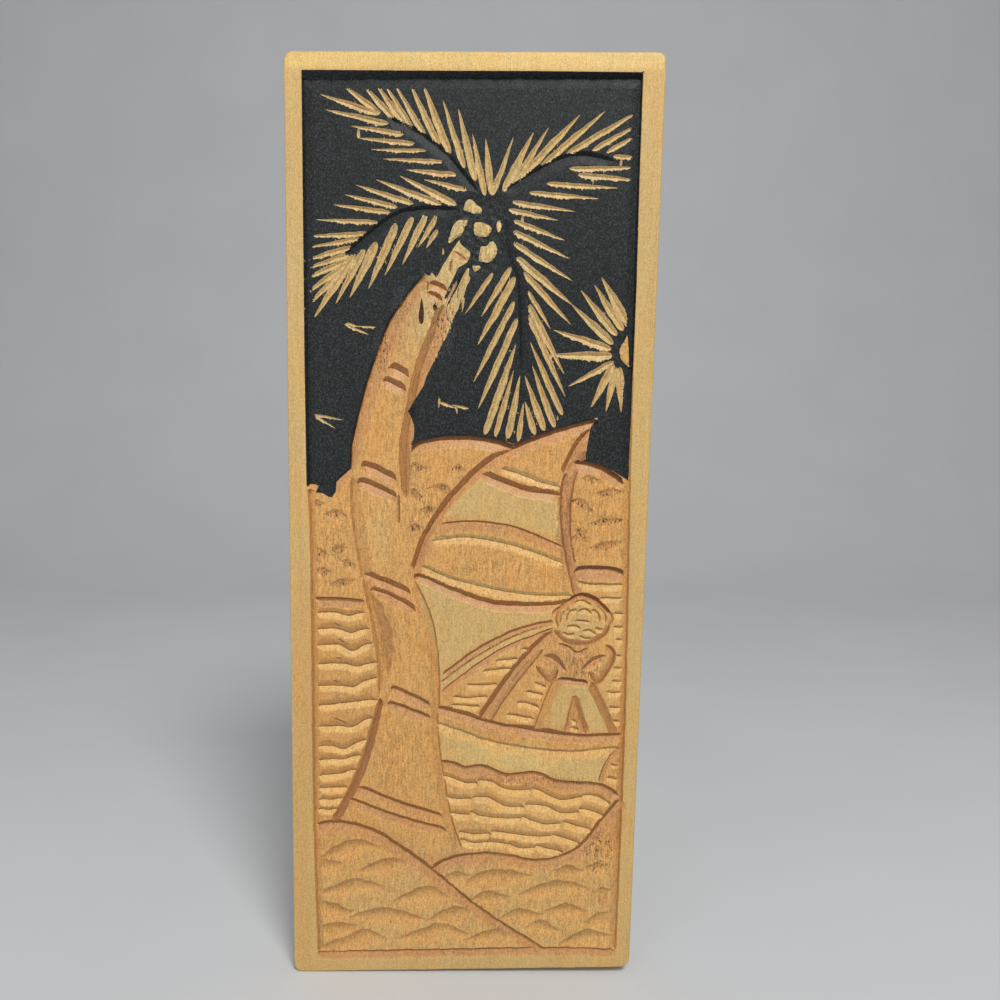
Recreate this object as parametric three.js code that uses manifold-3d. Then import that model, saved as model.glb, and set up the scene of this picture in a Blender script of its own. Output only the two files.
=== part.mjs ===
// Carved wood wall plaque: a coconut palm, a sailboat, a fisherman and a beach cut into one board.
// All sizes are in millimetres. The carving is drawn with the board lying on its back: X runs across
// the picture, Y up it and Z out of its face. The finished board is then stood up, so that Z is up,
// the carved face looks along -Y and the origin is the middle of the flat back.
import * as THREE from 'three';
import { mergeVertices } from 'three/addons/utils/BufferGeometryUtils.js';
import Module from 'manifold-3d';

// The board
const WIDTH = 127;
const HEIGHT = 329.2;
const THICKNESS = 13;
const END_SKEW = 2.8; // both sawn ends rise this much from left to right
const CORNER_RADII = [3, 2.6, 3.6, 3.2]; // top left, top right, bottom right, bottom left
const CORNER_STEPS = 3;
const EASED_EDGE = 0.5; // the sanded arris all round, front and back

// Kinds of cut. A cut is a V with a steep wall on its left, going along it, and a longer slope on its
// right. The widths are those of a full-size cut, and runOut is the length over which it dies away.
const OUTLINE = { wall: 0.8, slope: 4, depth: 1.7, runOut: 4 };
const DEEP = { wall: 1.1, slope: 3.2, depth: 1.4, runOut: 1.5 };
const LIGHT = { wall: 0.8, slope: 2.2, depth: 0.9, runOut: 2 };
const FINE = { wall: 0.45, slope: 1.8, depth: 0.6, runOut: 1.5 };
const HAIR = { wall: 0.35, slope: 0.5, depth: 0.35, runOut: 1 };
const WAVE = { wall: 0.5, slope: 2.3, depth: 0.75, runOut: 2.5 };
const LEAF = { wall: 1.1, slope: 1.1, depth: 1 };
const RIB = { wall: 0.8, slope: 2, depth: 0.8, runOut: 5 };
const GOUGE = { wall: 1.1, slope: 6.5, depth: 0.9 };
const PATCH = { wall: 0.8, slope: 3.6, depth: 0.45 };

const SECTION_GAP = 6.5; // how far apart a long cut's sections lie, where its kind gives no gap
const LEAF_SECTIONS = [0.08, 0.34, 0.7]; // where a leaflet is measured, from its base to its tip
const LEAF_BELLY = 0.34; // a leaflet is widest this far from its base
const GOUGE_SECTIONS = [0.12, 0.35, 0.65, 0.88];
const ABOVE = 0.6; // every cutting tool stands this much proud of the face

const WOOD = { color: 0xd8b67c, roughness: 0.62, metalness: 0 };

const wasm = await Module();
wasm.setup();

const point = ([x, y]) => new THREE.Vector2(x, y);
const curveThrough = (points) => new THREE.SplineCurve(points.map(point));

// Joins vertices and triangles into one solid that can be cut.
function solidFrom(positions, triangles) {
  const mesh = new wasm.Mesh({
    numProp: 3,
    vertProperties: Float32Array.from(positions),
    triVerts: Uint32Array.from(triangles),
  });
  return new wasm.Manifold(mesh);
}

// One cutting tool: a V that follows a curve. The sections are fractions of the curve's length, and
// size gives the share of the full width and depth that the cut has there. Both ends are points.
function vee(curve, kind, sections, size) {
  const start = curve.getPointAt(0);
  const end = curve.getPointAt(1);
  const positions = [start.x, start.y, THICKNESS];
  for (const u of sections) {
    const { x, y } = curve.getPointAt(u);
    const along = curve.getTangentAt(u);
    const share = size(u);
    const wall = share * THREE.MathUtils.lerp(kind.wall, kind.wallEnd ?? kind.wall, u);
    const slope = share * kind.slope;
    const wallX = x - along.y * wall;
    const wallY = y + along.x * wall;
    const slopeX = x + along.y * slope;
    const slopeY = y - along.x * slope;
    positions.push(x, y, THICKNESS - share * kind.depth);
    positions.push(slopeX, slopeY, THICKNESS, slopeX, slopeY, THICKNESS + ABOVE);
    positions.push(wallX, wallY, THICKNESS + ABOVE, wallX, wallY, THICKNESS);
  }
  positions.push(end.x, end.y, THICKNESS);
  return solidFrom(positions, tubeTriangles(sections.length));
}

// Triangles of a five-sided tube with a single point at each end.
function tubeTriangles(sectionCount) {
  const sides = 5;
  const last = 1 + sides * sectionCount;
  const triangles = [];
  for (let side = 0; side < sides; side += 1) {
    const next = (side + 1) % sides;
    triangles.push(0, 1 + side, 1 + next);
    for (let section = 1; section < sectionCount; section += 1) {
      const here = 1 + sides * (section - 1);
      const there = here + sides;
      triangles.push(here + side, there + side, here + next);
      triangles.push(here + next, there + side, there + next);
    }
    const lastSection = last - sides;
    triangles.push(last, lastSection + next, lastSection + side);
  }
  return triangles;
}

// A groove keeps its full size, apart from a run-out at both ends.
function groove(kind, ...points) {
  const curve = curveThrough(points);
  const length = curve.getLength();
  const runOut = Math.min(kind.runOut / length, 0.45);
  const gap = kind.gap ?? SECTION_GAP;
  const middle = Math.max(1, Math.round((length * (1 - 2 * runOut)) / gap));
  const sections = [];
  for (let step = 0; step <= middle; step += 1) {
    sections.push(runOut + (1 - 2 * runOut) * (step / middle));
  }
  return vee(curve, kind, sections, () => 1);
}

// A leaflet is a straight cut with a blunt base, a full belly and a long thin tip.
function leaflet(kind, base, tip) {
  const curve = new THREE.LineCurve(base, tip);
  const size = (u) => (u < LEAF_BELLY
    ? Math.sqrt(u / LEAF_BELLY)
    : ((1 - u) / (1 - LEAF_BELLY)) ** 0.65);
  return vee(curve, kind, LEAF_SECTIONS, size);
}

// A row of leaflets between the curve their bases stand on and the curve their tips reach.
function leafRow(count, bases, tips) {
  const baseCurve = curveThrough(bases);
  const tipCurve = curveThrough(tips);
  const leaflets = [];
  for (let leaf = 0; leaf < count; leaf += 1) {
    const t = leaf / (count - 1);
    leaflets.push(leaflet(LEAF, baseCurve.getPoint(t), tipCurve.getPoint(t)));
  }
  return leaflets;
}

// A short stroke of the narrow tool, such as a bird's wing.
const nick = (from, to, width = 0.55) =>
  leaflet({ wall: width, slope: width, depth: width }, point(from), point(to));

// A gouge mark: a crest bowed upwards, with a hollow that dies away below it.
function gougeMark(kind, bow, [x, y, halfSpan]) {
  const foot = y - bow * halfSpan;
  const crest = curveThrough([[x - halfSpan, foot], [x, y], [x + halfSpan, foot]]);
  return vee(crest, kind, GOUGE_SECTIONS, (u) => Math.sin(Math.PI * u));
}

// A shallow slice that takes the painted skin off, such as a coconut.
function slice(x, y, halfWidth, halfHeight, turn = 0) {
  const sides = 7;
  const depth = 0.4;
  const positions = [];
  for (const [scale, z] of [[0.8, THICKNESS - depth], [1, THICKNESS], [1, THICKNESS + ABOVE]]) {
    for (let side = 0; side < sides; side += 1) {
      const angle = turn + (side / sides) * 2 * Math.PI;
      positions.push(x + halfWidth * scale * Math.cos(angle), y + halfHeight * scale * Math.sin(angle), z);
    }
  }
  const triangles = [];
  for (let side = 0; side < sides; side += 1) {
    const next = (side + 1) % sides;
    for (const ring of [0, sides]) {
      triangles.push(ring + side, ring + next, ring + sides + next);
      triangles.push(ring + side, ring + sides + next, ring + sides + side);
    }
  }
  for (let side = 1; side < sides - 1; side += 1) {
    triangles.push(0, side + 1, side);
    triangles.push(2 * sides, 2 * sides + side, 2 * sides + side + 1);
  }
  return solidFrom(positions, triangles);
}

// The sawn board, with rounded corners and a sanded arris.
function board() {
  const left = -WIDTH / 2 + EASED_EDGE;
  const right = WIDTH / 2 - EASED_EDGE;
  const top = HEIGHT / 2 - EASED_EDGE;
  const bottom = -HEIGHT / 2 + EASED_EDGE;
  const tilt = END_SKEW / 2;
  const corners = [[left, top - tilt], [right, top + tilt], [right, bottom + tilt], [left, bottom - tilt]];
  const outline = new THREE.Shape();
  corners.map(point).forEach((corner, index) => {
    const before = point(corners[(index + 3) % 4]).sub(corner).setLength(CORNER_RADII[index]).add(corner);
    const after = point(corners[(index + 1) % 4]).sub(corner).setLength(CORNER_RADII[index]).add(corner);
    if (index === 0) outline.moveTo(before.x, before.y);
    else outline.lineTo(before.x, before.y);
    outline.quadraticCurveTo(corner.x, corner.y, after.x, after.y);
  });
  outline.closePath();
  const slab = new THREE.ExtrudeGeometry(outline, {
    depth: THICKNESS - 2 * EASED_EDGE,
    curveSegments: CORNER_STEPS,
    bevelSize: EASED_EDGE,
    bevelThickness: EASED_EDGE,
    bevelSegments: 1,
  });
  slab.translate(0, 0, EASED_EDGE);
  return solidOf(slab);
}

// Welds a closed geometry's corners, so that it can be cut.
function solidOf(geometry) {
  geometry.deleteAttribute('normal');
  geometry.deleteAttribute('uv');
  const welded = mergeVertices(geometry);
  return solidFrom(welded.getAttribute('position').array, welded.index.array);
}

// The grooves that part the picture from the board's plain rim.
function rimGrooves() {
  const gap = 45;
  const top = { wall: 2.2, wallEnd: 1, slope: 4, depth: 2, runOut: 1, gap };
  const side = { wall: 0.6, slope: 3.2, depth: 1.1, runOut: 1, gap };
  const bottom = { wall: 0.6, slope: 2.6, depth: 1, runOut: 1, gap };
  return [
    groove(top, [-57.8, 154.9], [-20, 155.9], [20, 157.1], [56, 158.2]),
    groove(side, [-54, -158], [-55.2, -107], [-55.6, -7], [-56.6, 30], [-57.1, 156]),
    groove(side, [55.4, 158.6], [55.7, 82], [56.5, 24], [57.8, -58], [57.9, -120], [57.7, -156.4]),
    groove(bottom, [-54.6, -157.9], [-4.7, -156.8], [32.4, -155.9], [58.2, -156.2]),
  ];
}

// Five sprays of leaflets round the crown, one at the right edge, and the painted ribs between them.
function fronds() {
  return [
    // the spray up to the left
    ...leafRow(11,
      [[6.2, 119.1], [0.5, 124], [-8.1, 131.7], [-16.6, 137.3], [-23.3, 140.3], [-31.6, 144.3]],
      [[3.9, 136.2], [-5.5, 146], [-16.7, 152.2], [-26, 152], [-32.3, 151.9], [-42.9, 151.6]]),
    ...leafRow(8,
      [[-2.3, 120.6], [-12.5, 130.5], [-22.5, 137], [-31.6, 144.6]],
      [[-16.1, 123.2], [-31.8, 130.6], [-40.2, 138.8], [-51.2, 149.8]]),
    groove(RIB, [-30, 143.4], [-18.6, 138.4], [-8.6, 131], [1.6, 119.5]),
    // the spray that arches down to the left
    ...leafRow(13,
      [[-5.9, 115.3], [-26.2, 114.2], [-36.3, 105.8], [-43.1, 99.3], [-48.2, 91]],
      [[-24.2, 124.6], [-43, 117.4], [-54.5, 104], [-55.3, 93.5], [-55.8, 77.1]]),
    ...leafRow(7,
      [[-12.6, 111.2], [-20.8, 111], [-33.2, 102.5], [-41, 98.8]],
      [[-18.3, 101.2], [-30.2, 92], [-41.8, 82.8], [-54, 75.4]]),
    nick([-12.8, 107], [-16, 100.6], 0.8),
    groove(RIB, [-44.5, 97.1], [-33, 107.2], [-22, 113.3], [-5, 114]),
    // the spray that arches up to the right
    ...leafRow(8,
      [[7.8, 120.2], [15.2, 124], [28.7, 131.6], [45.3, 133.4]],
      [[12.9, 137.4], [28, 142.5], [49, 146.4], [53.2, 138.7]]),
    ...leafRow(6,
      [[12.4, 114.1], [22, 121.5], [33, 128.2]],
      [[28.4, 110.8], [46, 120.5], [53.3, 128.7]]),
    nick([47.7, 132.4], [53.5, 132], 0.8),
    groove(RIB, [10, 119.8], [20, 126.5], [29, 131.2], [38, 132.8], [48, 130.6]),
    // the spray that hangs down
    ...leafRow(12,
      [[13.8, 110.5], [13.6, 102.3], [18.5, 91.5], [19.8, 81], [20.7, 64], [18.6, 49.3]],
      [[31, 104.6], [34.2, 90], [33, 74.5], [32.6, 55], [30.5, 42.5], [22.4, 38.2]]),
    ...leafRow(9,
      [[8, 94], [14.3, 91], [15.5, 77.9], [15, 62], [18.3, 48.6]],
      [[-2.4, 79.9], [2.6, 69.2], [3, 47.2], [9, 38], [16.8, 36]]),
    groove(RIB, [17.6, 60], [17.3, 76], [16, 91], [12.5, 101], [11, 112]),
    // the palm that looks in over the right edge
    ...leafRow(10,
      [[54, 75.7], [49, 70.1], [49.2, 63.6], [53.1, 61]],
      [[44.4, 92.3], [34.3, 83.7], [34.1, 55.4], [52.6, 47.2]]),
    slice(53.4, 67.7, 1.9, 5.2),
  ];
}

function coconuts() {
  return [
    slice(-0.3, 115.2, 2.6, 2.4, 0.4),
    slice(-5.2, 107.4, 2.7, 3.8, -0.5),
    slice(3.2, 107.7, 3, 2.5),
    slice(8.7, 109, 0.9, 2),
    slice(5, 100.2, 3.1, 3, 0.5),
  ];
}

function birds() {
  return [
    nick([-43.8, 74.9], [-35.4, 71.5], 0.65),
    nick([-41, 74.2], [-33, 74.2]),
    nick([-54.8, 43.9], [-47, 39.2], 0.65),
    nick([-54.8, 43.9], [-44.2, 42.2], 0.65),
    nick([-10.8, 50.6], [-11.1, 46.8]),
    nick([-10.8, 49], [-4.2, 46.8], 0.6),
    nick([-0.6, 47], [-6.4, 48.2], 0.6),
    nick([-5, 48], [-4.6, 44.8]),
  ];
}

function trunk() {
  const ring = { wall: 0.95, slope: 2.8, depth: 1.2, runOut: 1 };
  const rings = [
    [[-7.4, 101.4], [-1.9, 96.6]],
    [[-15.2, 91.3], [-8, 87.6]], [[-15.2, 86.9], [-10.3, 83.6]],
    [[-28.4, 61.7], [-20.4, 58.1]], [[-30.8, 56.9], [-21.8, 53.2]],
    [[-38.4, 27], [-25.1, 22]], [[-40.3, 21.2], [-24.7, 16]],
    [[-37.8, -11.6], [-19.6, -18]], [[-35.3, -16.6], [-18, -24]],
    [[-27.7, -54.2], [-12.1, -59.9]], [[-29.4, -59.2], [-12, -64.8]],
    [[-39, -91.4], [-7.5, -102.2]], [[-42.2, -96], [-5.8, -108.2]],
  ];
  return [
    // left side, upwards
    groove(OUTLINE, [-48.9, -105.6], [-39.4, -86], [-31.7, -62], [-31.2, -43], [-35.6, -18],
      [-40.6, 9], [-40.8, 31], [-35.5, 55], [-27.8, 76], [-16, 92.5]),
    // right side, downwards, under the torn upper part
    groove({ ...OUTLINE, slope: 2.6, depth: 1.2 }, [-19.6, 42], [-20.6, 34], [-24.2, 19], [-22.6, -2],
      [-17, -21], [-11.2, -38], [-10, -58], [-12, -73], [-8.6, -88], [-4.6, -108], [-0.8, -118]),
    groove({ wall: 1.7, slope: 3, depth: 1.5, runOut: 3 }, [-22.6, 46], [-19.4, 60], [-15, 72],
      [-10.6, 85]),
    ...rings.map((ends) => groove(ring, ...ends)),
    // torn strips beside the upper right side
    nick([-1.4, 96], [-8.6, 77], 0.9),
    nick([-4.4, 90], [-13.5, 67], 0.9),
    nick([-9.4, 76], [-19.8, 50], 0.8),
    nick([-17.5, 85], [-17.2, 75.4], 0.8),
    // neck
    groove(LIGHT, [-12.6, 91.5], [-9, 97.5], [-4.6, 104]),
    groove(LIGHT, [-1.2, 99], [-5, 93], [-8.2, 88.6]),
  ];
}

function hills() {
  const crest = { ...DEEP, wall: 0.9, slope: 3.4 };
  const patches = [
    [-48, 13, 7], [-50, 5.5, 5], [-46, 0.5, 7], [-50, -6, 5], [-45, -12.5, 6],
    [-17, 27, 4], [-15, 18.5, 5], [-17.5, 11.5, 4.5], [-19, 4.5, 3],
    [41, 24.5, 3], [50, 19, 5], [42, 15, 4], [50, 9.5, 5.5], [42, 4.5, 3.5], [49, 0.8, 6],
  ];
  return [
    groove(crest, [-57, 18], [-52.5, 20], [-49, 17]),
    groove(crest, [-48.5, 17.5], [-45.8, 21.5], [-41, 25.8]),
    groove(crest, [-22, 32.6], [-18, 36], [-8, 37.4], [2, 37.4], [10, 36], [17.4, 34.8]),
    groove(crest, [37.4, 30.2], [45.5, 28.2], [50, 26], [55.4, 22.8]),
    ...patches.map((at) => gougeMark(PATCH, 0.12, at)),
  ];
}

function sail() {
  const bandDark = { ...DEEP, slope: 2.2 };
  return [
    // luff, from the tack up to the peak
    groove({ ...DEEP, wall: 1.1, slope: 2.4 }, [-20.4, -13.4], [-18.7, -5], [-15.4, 3.4], [-9.8, 12.2],
      [-3.4, 20], [2.4, 26], [9.2, 31.4], [17, 35.4], [30, 40.6], [44, 44.4]),
    // after edge and mast
    groove({ ...DEEP, slope: 2 }, [32.2, 25.4], [35, 31.6], [38, 36.8], [42, 41.4]),
    groove({ ...LIGHT, wall: 0.7, slope: 3, depth: 1.1 }, [38.4, -19.4], [35.6, -8], [33.6, 2], [32.4, 14],
      [33.4, 23.4], [36.4, 30]),
    groove({ ...LIGHT, slope: 1.6, depth: 0.8 }, [41.4, 33], [37.6, 26], [36.4, 14], [37, 2], [39, -8]),
    // upper bands
    groove(LIGHT, [10.8, 27.2], [17, 25.6], [25, 23], [33, 21]),
    groove(bandDark, [4.4, 25.2], [12, 21.4], [21, 18.8], [32.4, 17.6]),
    // middle bands
    groove({ ...FINE, slope: 3 }, [-9.6, 6.4], [4, 7], [18, 4.8], [33.4, -1.6]),
    nick([-9.6, 9], [-9.5, 6], 0.5),
    groove({ ...LIGHT, wall: 0.95 }, [-14, 0.2], [-4, 1.9], [10, 0.3], [23, -2.9], [34.6, -7.3]),
    // lower bands
    groove(LIGHT, [-16.4, -9], [-6, -13.4], [8, -16.8], [22, -18.9], [38, -19]),
    groove({ ...bandDark, slope: 1.9 }, [-20, -13.8], [-16.8, -12.6], [-6, -17.4], [8, -22.2], [22, -23],
      [33, -21.9], [38.4, -19.8]),
    // boom, with a ridge along it
    groove({ ...FINE, slope: 1.4 }, [-9.4, -48.6], [2, -39.6], [13, -33.4], [23, -29.6], [31.4, -27.8]),
    groove(HAIR, [-9.4, -52.4], [1, -44.4], [12, -37.4], [22, -32.6], [31, -29.6]),
    groove(FINE, [-9.4, -55.8], [1.4, -47], [13, -39], [23, -34.6], [31, -31]),
  ];
}

function pole() {
  return [
    groove({ ...DEEP, slope: 2.4, depth: 1.2 }, [4.6, -65.4], [14, -51.6], [22, -41.4], [30.6, -32]),
    groove(HAIR, [8, -63.4], [17, -50.4], [27.6, -38.4]),
    groove({ ...FINE, slope: 2.4 }, [27.4, -39], [19.4, -49], [8.6, -66.2]),
  ];
}

function fisherman() {
  const gap = 4;
  const limb = { wall: 0.6, slope: 1.8, depth: 0.9, runOut: 1.5, gap };
  return [
    // hat: over its crown, then under its chin
    groove({ ...DEEP, wall: 1.5, slope: 1.6, gap }, [31.6, -28], [33.8, -22.4], [39, -19.4], [45.4, -19.8],
      [51.4, -26.4]),
    groove({ ...LIGHT, wall: 0.5, slope: 1.6, gap }, [51.4, -31.4], [46.4, -35.6], [40, -36.8],
      [34.6, -34.4], [30.8, -30.4]),
    groove(FINE, [38.2, -28.6], [41.5, -28.4], [44.8, -28.7]),
    groove(HAIR, [34, -29], [35.6, -25], [39.4, -27]),
    groove(HAIR, [39.6, -23.4], [42.6, -22.6], [45.4, -25]),
    groove(HAIR, [44.4, -24], [47.8, -25.6], [48.6, -29]),
    groove(HAIR, [35.6, -32.4], [40, -31.6], [43, -33]),
    // neck opening
    groove(LIGHT, [34.4, -36.8], [40, -39.9], [44.6, -38]),
    // arms and elbows
    groove(limb, [28, -41.2], [31.6, -42], [37, -46.4]),
    groove(limb, [41.4, -46.4], [45, -43.2], [50.4, -40.6]),
    groove(limb, [33.4, -46.2], [30.6, -51], [27.2, -47.4], [26.6, -40.6], [30.4, -34.6]),
    groove(limb, [50.6, -36.6], [54, -42.2], [52, -46.6], [48.2, -51.4], [44.2, -47]),
    // belt and trousers
    groove(DEEP, [33, -49.6], [38, -50], [44.4, -50.8]),
    groove({ ...LIGHT, wall: 1.9, slope: 0.8 }, [26, -70.2], [29.2, -59], [32.6, -50.6]),
    groove({ ...LIGHT, wall: 1.9, slope: 0.8 }, [45, -50.6], [50, -59.4], [54.8, -70.4]),
    groove({ ...LIGHT, wall: 0.8, slope: 1.9 }, [35, -71], [37, -63], [39.4, -55.6]),
    groove({ ...LIGHT, wall: 0.8, slope: 1.9 }, [39.4, -55.6], [42.4, -63.4], [45.6, -71]),
  ];
}

function boat() {
  return [
    groove({ ...DEEP, slope: 3 }, [-10.4, -60.9], [3, -64.7], [15, -68], [30, -70.7], [45, -71.2],
      [57.6, -70.7]),
    groove({ ...LIGHT, wall: 0.95, slope: 2.8 }, [-10.6, -67], [5, -73.2], [20, -76.7], [38, -78],
      [56.6, -75.9]),
    groove({ ...LIGHT, slope: 1.2 }, [49.8, -90], [51, -85.6], [53.4, -80], [57.6, -75.6]),
    groove({ ...DEEP, wall: 0.6, slope: 3 }, [-9.4, -82], [0, -84.3], [5.4, -83.5], [15.6, -86.7],
      [27, -86.2], [38, -89.7], [48.6, -90], [57, -94.8]),
  ];
}

// The sea has three parts: left of the trunk, right of the boat, and in front of the boat.
function leftSea() {
  const rows = [-27.4, -33, -39.2, -45.9, -54, -61, -69.4, -76.2, -82, -87.6, -93, -97.2, -101];
  const trunkEdge = curveThrough([[-36.4, -26], [-32.4, -45], [-31.8, -58], [-36.4, -76], [-47.4, -101]]);
  const horizon = groove(DEEP, [-55.2, -21.6], [-46, -21.3], [-36.6, -21.9]);
  return [horizon, ...rows.map((y, index) => {
    const end = trunkEdge.getPoint(index / (rows.length - 1)).x;
    const start = -54;
    const middle = (start + end) / 2;
    const dip = 0.4 * (end - middle) ** 0.5;
    return groove(WAVE, [start, y - 0.6], [middle - 2, y], [middle + 3, y - dip], [end, y + dip]);
  })];
}

function rightSea() {
  const rows = 10;
  const rowGap = 5.2;
  const cuts = [
    groove(DEEP, [37, -9], [41, -8.2], [50, -8.3], [56.8, -9.4]),
    groove({ ...LIGHT, wall: 0.6 }, [38.8, -13.4], [46, -15.1], [56, -14.6]),
  ];
  for (let row = 0; row < rows; row += 1) {
    const y = -19.5 - row * rowGap;
    cuts.push(groove(WAVE, [51 + (row % 3) * 0.6, y], [54, y - 0.5], [57, y]));
  }
  return cuts;
}

// Water seen between the boom, the pole and the legs.
function inlets() {
  const rows = [
    [[10.4, -43.6], [18.6, -43]], [[5.6, -47.6], [16, -46.8]], [[-0.4, -53], [11.6, -52.4]],
    [[-6.4, -58], [8.4, -57.4]], [[-8.6, -61.2], [-1, -61.4]], [[24.2, -51.8], [29.4, -53.6]],
    [[21.4, -55.6], [28.2, -56.6]], [[18.4, -60.2], [26.8, -61.4]], [[15.6, -64], [25.8, -65.2]],
    [[37.8, -65], [41.6, -65.8]], [[37.4, -68], [41.8, -68.6]],
    [[52.6, -83], [56.4, -83.6]], [[51.8, -87.8], [56.8, -88.6]],
  ];
  return rows.map(([from, to]) => groove({ ...WAVE, runOut: 1.2 }, from, to));
}

// Each row in front of the boat is a chain of arcs that overlap like scales.
function boatWaves() {
  const rows = [
    { start: -9, end: 54, y: -87.6, fall: 0.15, first: 14 },
    { start: -7.5, end: 51, y: -94.4, fall: 0.115, first: 16 },
    { start: -6, end: 47, y: -101.6, fall: 0.115, first: 20 },
    { start: -3.5, end: 42.4, y: -108.4, fall: 0.105, first: 14 },
    { start: -1.6, end: 36.4, y: -112.9, fall: 0.1, first: 16 },
  ];
  const arcSpan = 19;
  const lap = 1.2;
  const cuts = [];
  for (const { start, end, y, fall, first } of rows) {
    const level = (x) => y - fall * (x - start);
    for (let from = start, to = start + first; from < end - 4; from = to - 1.5, to = from + arcSpan) {
      const stop = Math.min(to, end);
      const low = from + 0.62 * (stop - from);
      cuts.push(groove(WAVE, [from, level(from) + lap / 2], [low, level(low) - lap], [stop, level(stop)]));
    }
  }
  return cuts;
}

function beach() {
  const shore = { ...DEEP, wall: 0.7, slope: 3 };
  const leftGouges = [
    [-50.4, -120.5, 4.6], [-27, -120, 9.5], [-38, -128.8, 13], [-49, -137.6, 5.6], [-13, -131, 10.5],
    [-27, -140.6, 13], [-47, -146, 7.4], [-36, -149.4, 11], [-8, -146.4, 12], [-3, -139.4, 9],
    [-40, -113.4, 10],
  ];
  const rightGouges = [
    [15, -125, 11], [10, -133.4, 7], [36, -129.6, 11], [23, -140.2, 9], [40, -138.2, 8], [12, -149, 9],
    [30, -144.6, 6], [47, -149, 8.6], [51.6, -141.4, 4.6], [48, -122, 7], [51.4, -131.6, 4.8],
    [27, -124, 8],
  ];
  return [
    groove(shore, [-12.6, -123.8], [-7, -120.4], [0, -118.2], [9, -117.1], [18, -118.4], [27, -119.7],
      [35.6, -118.4], [44, -113.6], [51, -103.2], [57, -95.2]),
    groove(shore, [-55.2, -106.2], [-44, -106.1], [-33, -109.2], [-24, -114.8], [-12, -123.6], [3.6, -137],
      [18, -146.8], [32.6, -156]),
    ...[...leftGouges, ...rightGouges].map((at) => gougeMark(GOUGE, 0.32, at)),
  ];
}

// All the cuts, taken out of the board one after the other.
function carvedBoard() {
  const cuts = [
    rimGrooves(), fronds(), coconuts(), birds(), trunk(), hills(), sail(), pole(), fisherman(), boat(),
    leftSea(), rightSea(), inlets(), boatWaves(), beach(),
  ].flat();
  return cuts.reduce((solid, cut) => solid.subtract(cut), board());
}

function geometryOf(solid) {
  const mesh = solid.getMesh();
  const geometry = new THREE.BufferGeometry();
  geometry.setAttribute('position', new THREE.BufferAttribute(Float32Array.from(mesh.vertProperties), 3));
  geometry.setIndex(new THREE.BufferAttribute(Uint32Array.from(mesh.triVerts), 1));
  geometry.computeVertexNormals();
  return geometry;
}

const carvedPlaque = new THREE.Mesh(geometryOf(carvedBoard()), new THREE.MeshStandardMaterial(WOOD));
carvedPlaque.name = 'carved_plaque';
carvedPlaque.rotation.x = Math.PI / 2;

const plaque = new THREE.Group();
plaque.add(carvedPlaque);

export default plaque;
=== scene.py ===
import math

import bpy
import numpy as np
from mathutils import Matrix, Vector
from mathutils.geometry import delaunay_2d_cdt


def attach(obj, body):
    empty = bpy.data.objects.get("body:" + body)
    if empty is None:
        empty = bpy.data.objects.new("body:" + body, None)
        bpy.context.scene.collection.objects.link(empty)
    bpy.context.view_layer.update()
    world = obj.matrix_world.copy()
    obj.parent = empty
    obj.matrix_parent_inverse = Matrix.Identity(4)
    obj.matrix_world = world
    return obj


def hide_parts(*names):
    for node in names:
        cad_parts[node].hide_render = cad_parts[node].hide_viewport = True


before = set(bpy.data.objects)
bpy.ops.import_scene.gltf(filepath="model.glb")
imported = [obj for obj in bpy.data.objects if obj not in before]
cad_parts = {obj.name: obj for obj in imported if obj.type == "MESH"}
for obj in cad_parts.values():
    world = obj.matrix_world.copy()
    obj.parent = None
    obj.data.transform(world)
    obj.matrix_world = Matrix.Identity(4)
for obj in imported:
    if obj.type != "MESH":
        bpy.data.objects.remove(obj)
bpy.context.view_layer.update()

MM = 0.001

# The board
WIDTH = 127
HEIGHT = 329.2
THICKNESS = 13
END_SKEW = 2.8  # both sawn ends rise this much from left to right
CORNER_RADII = (3, 2.6, 3.6, 3.2)  # top left, top right, bottom right, bottom left
EASED_EDGE = 0.5

# Kinds of cut. Going along a cut, its wall is on the left and its slope on the right. The whole cut is moved
# to the right by shift, and heel carries the foot of its wall on into its slope. bend holds an exponent for the wall and one for the slope: 1 is flat and more is
# scooped. A kind without bend is a rounded bowl.
BEVEL = dict(wall=0.8, slope=4, depth=1.3, run_out=4, finish="bevel", bend=(1, 1.2))
DEEP = dict(wall=1.7, slope=2.6, depth=1.5, run_out=1.5, finish="stain", bend=(1, 1.1), shift=0.4, heel=0.4)
LIGHT = dict(wall=1.3, slope=2.4, depth=0.9, run_out=2, finish="cream", bend=(1, 1.1), shift=0.4)
FINE = dict(wall=0.7, slope=1.8, depth=0.6, run_out=1.5, finish="stain", bend=(1, 1.1))
HAIR = dict(wall=0.5, slope=0.7, depth=0.4, run_out=1, finish="line", bend=(1, 1))
WAVE = dict(wall=2.6, slope=2.2, depth=1.05, run_out=2.5, finish="wave", bend=(1.7, 1.05))
RIPPLE = dict(wall=1.2, slope=2, depth=0.75, run_out=1.2, finish="wave", bend=(1.5, 1.05))
RIB = dict(wall=1, slope=2.8, depth=1.2, run_out=5, finish="paint", bend=(1, 1.1))
GOUGE = dict(wall=3.8, slope=4.6, depth=1.25, finish="gouge", bend=None)
SCRIBBLE = dict(wall=0.9, slope=1.4, depth=0.9, run_out=1, finish="scribble", bend=(1, 1))
SCOOP = dict(wall=1.2, slope=2.3, depth=0.5, finish="scoop", bend=None)
LEAF_DEPTH = 0.36  # depth of a leaflet, as a share of its width

SEED = 11
LINE_GAP = 0.75  # distance between the points along a cut
LEAF_GAP = 0.45  # and along a leaflet
FILL_GAP = 0.56  # distance between the points inside a cut
SPARSE = 2  # on the flats only one point in this many is kept, each way
CLEARANCE = 0.28  # no fill point stands closer than this to a cut's lines

cuts = []
random = np.random.default_rng(SEED)


# Curves

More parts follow.
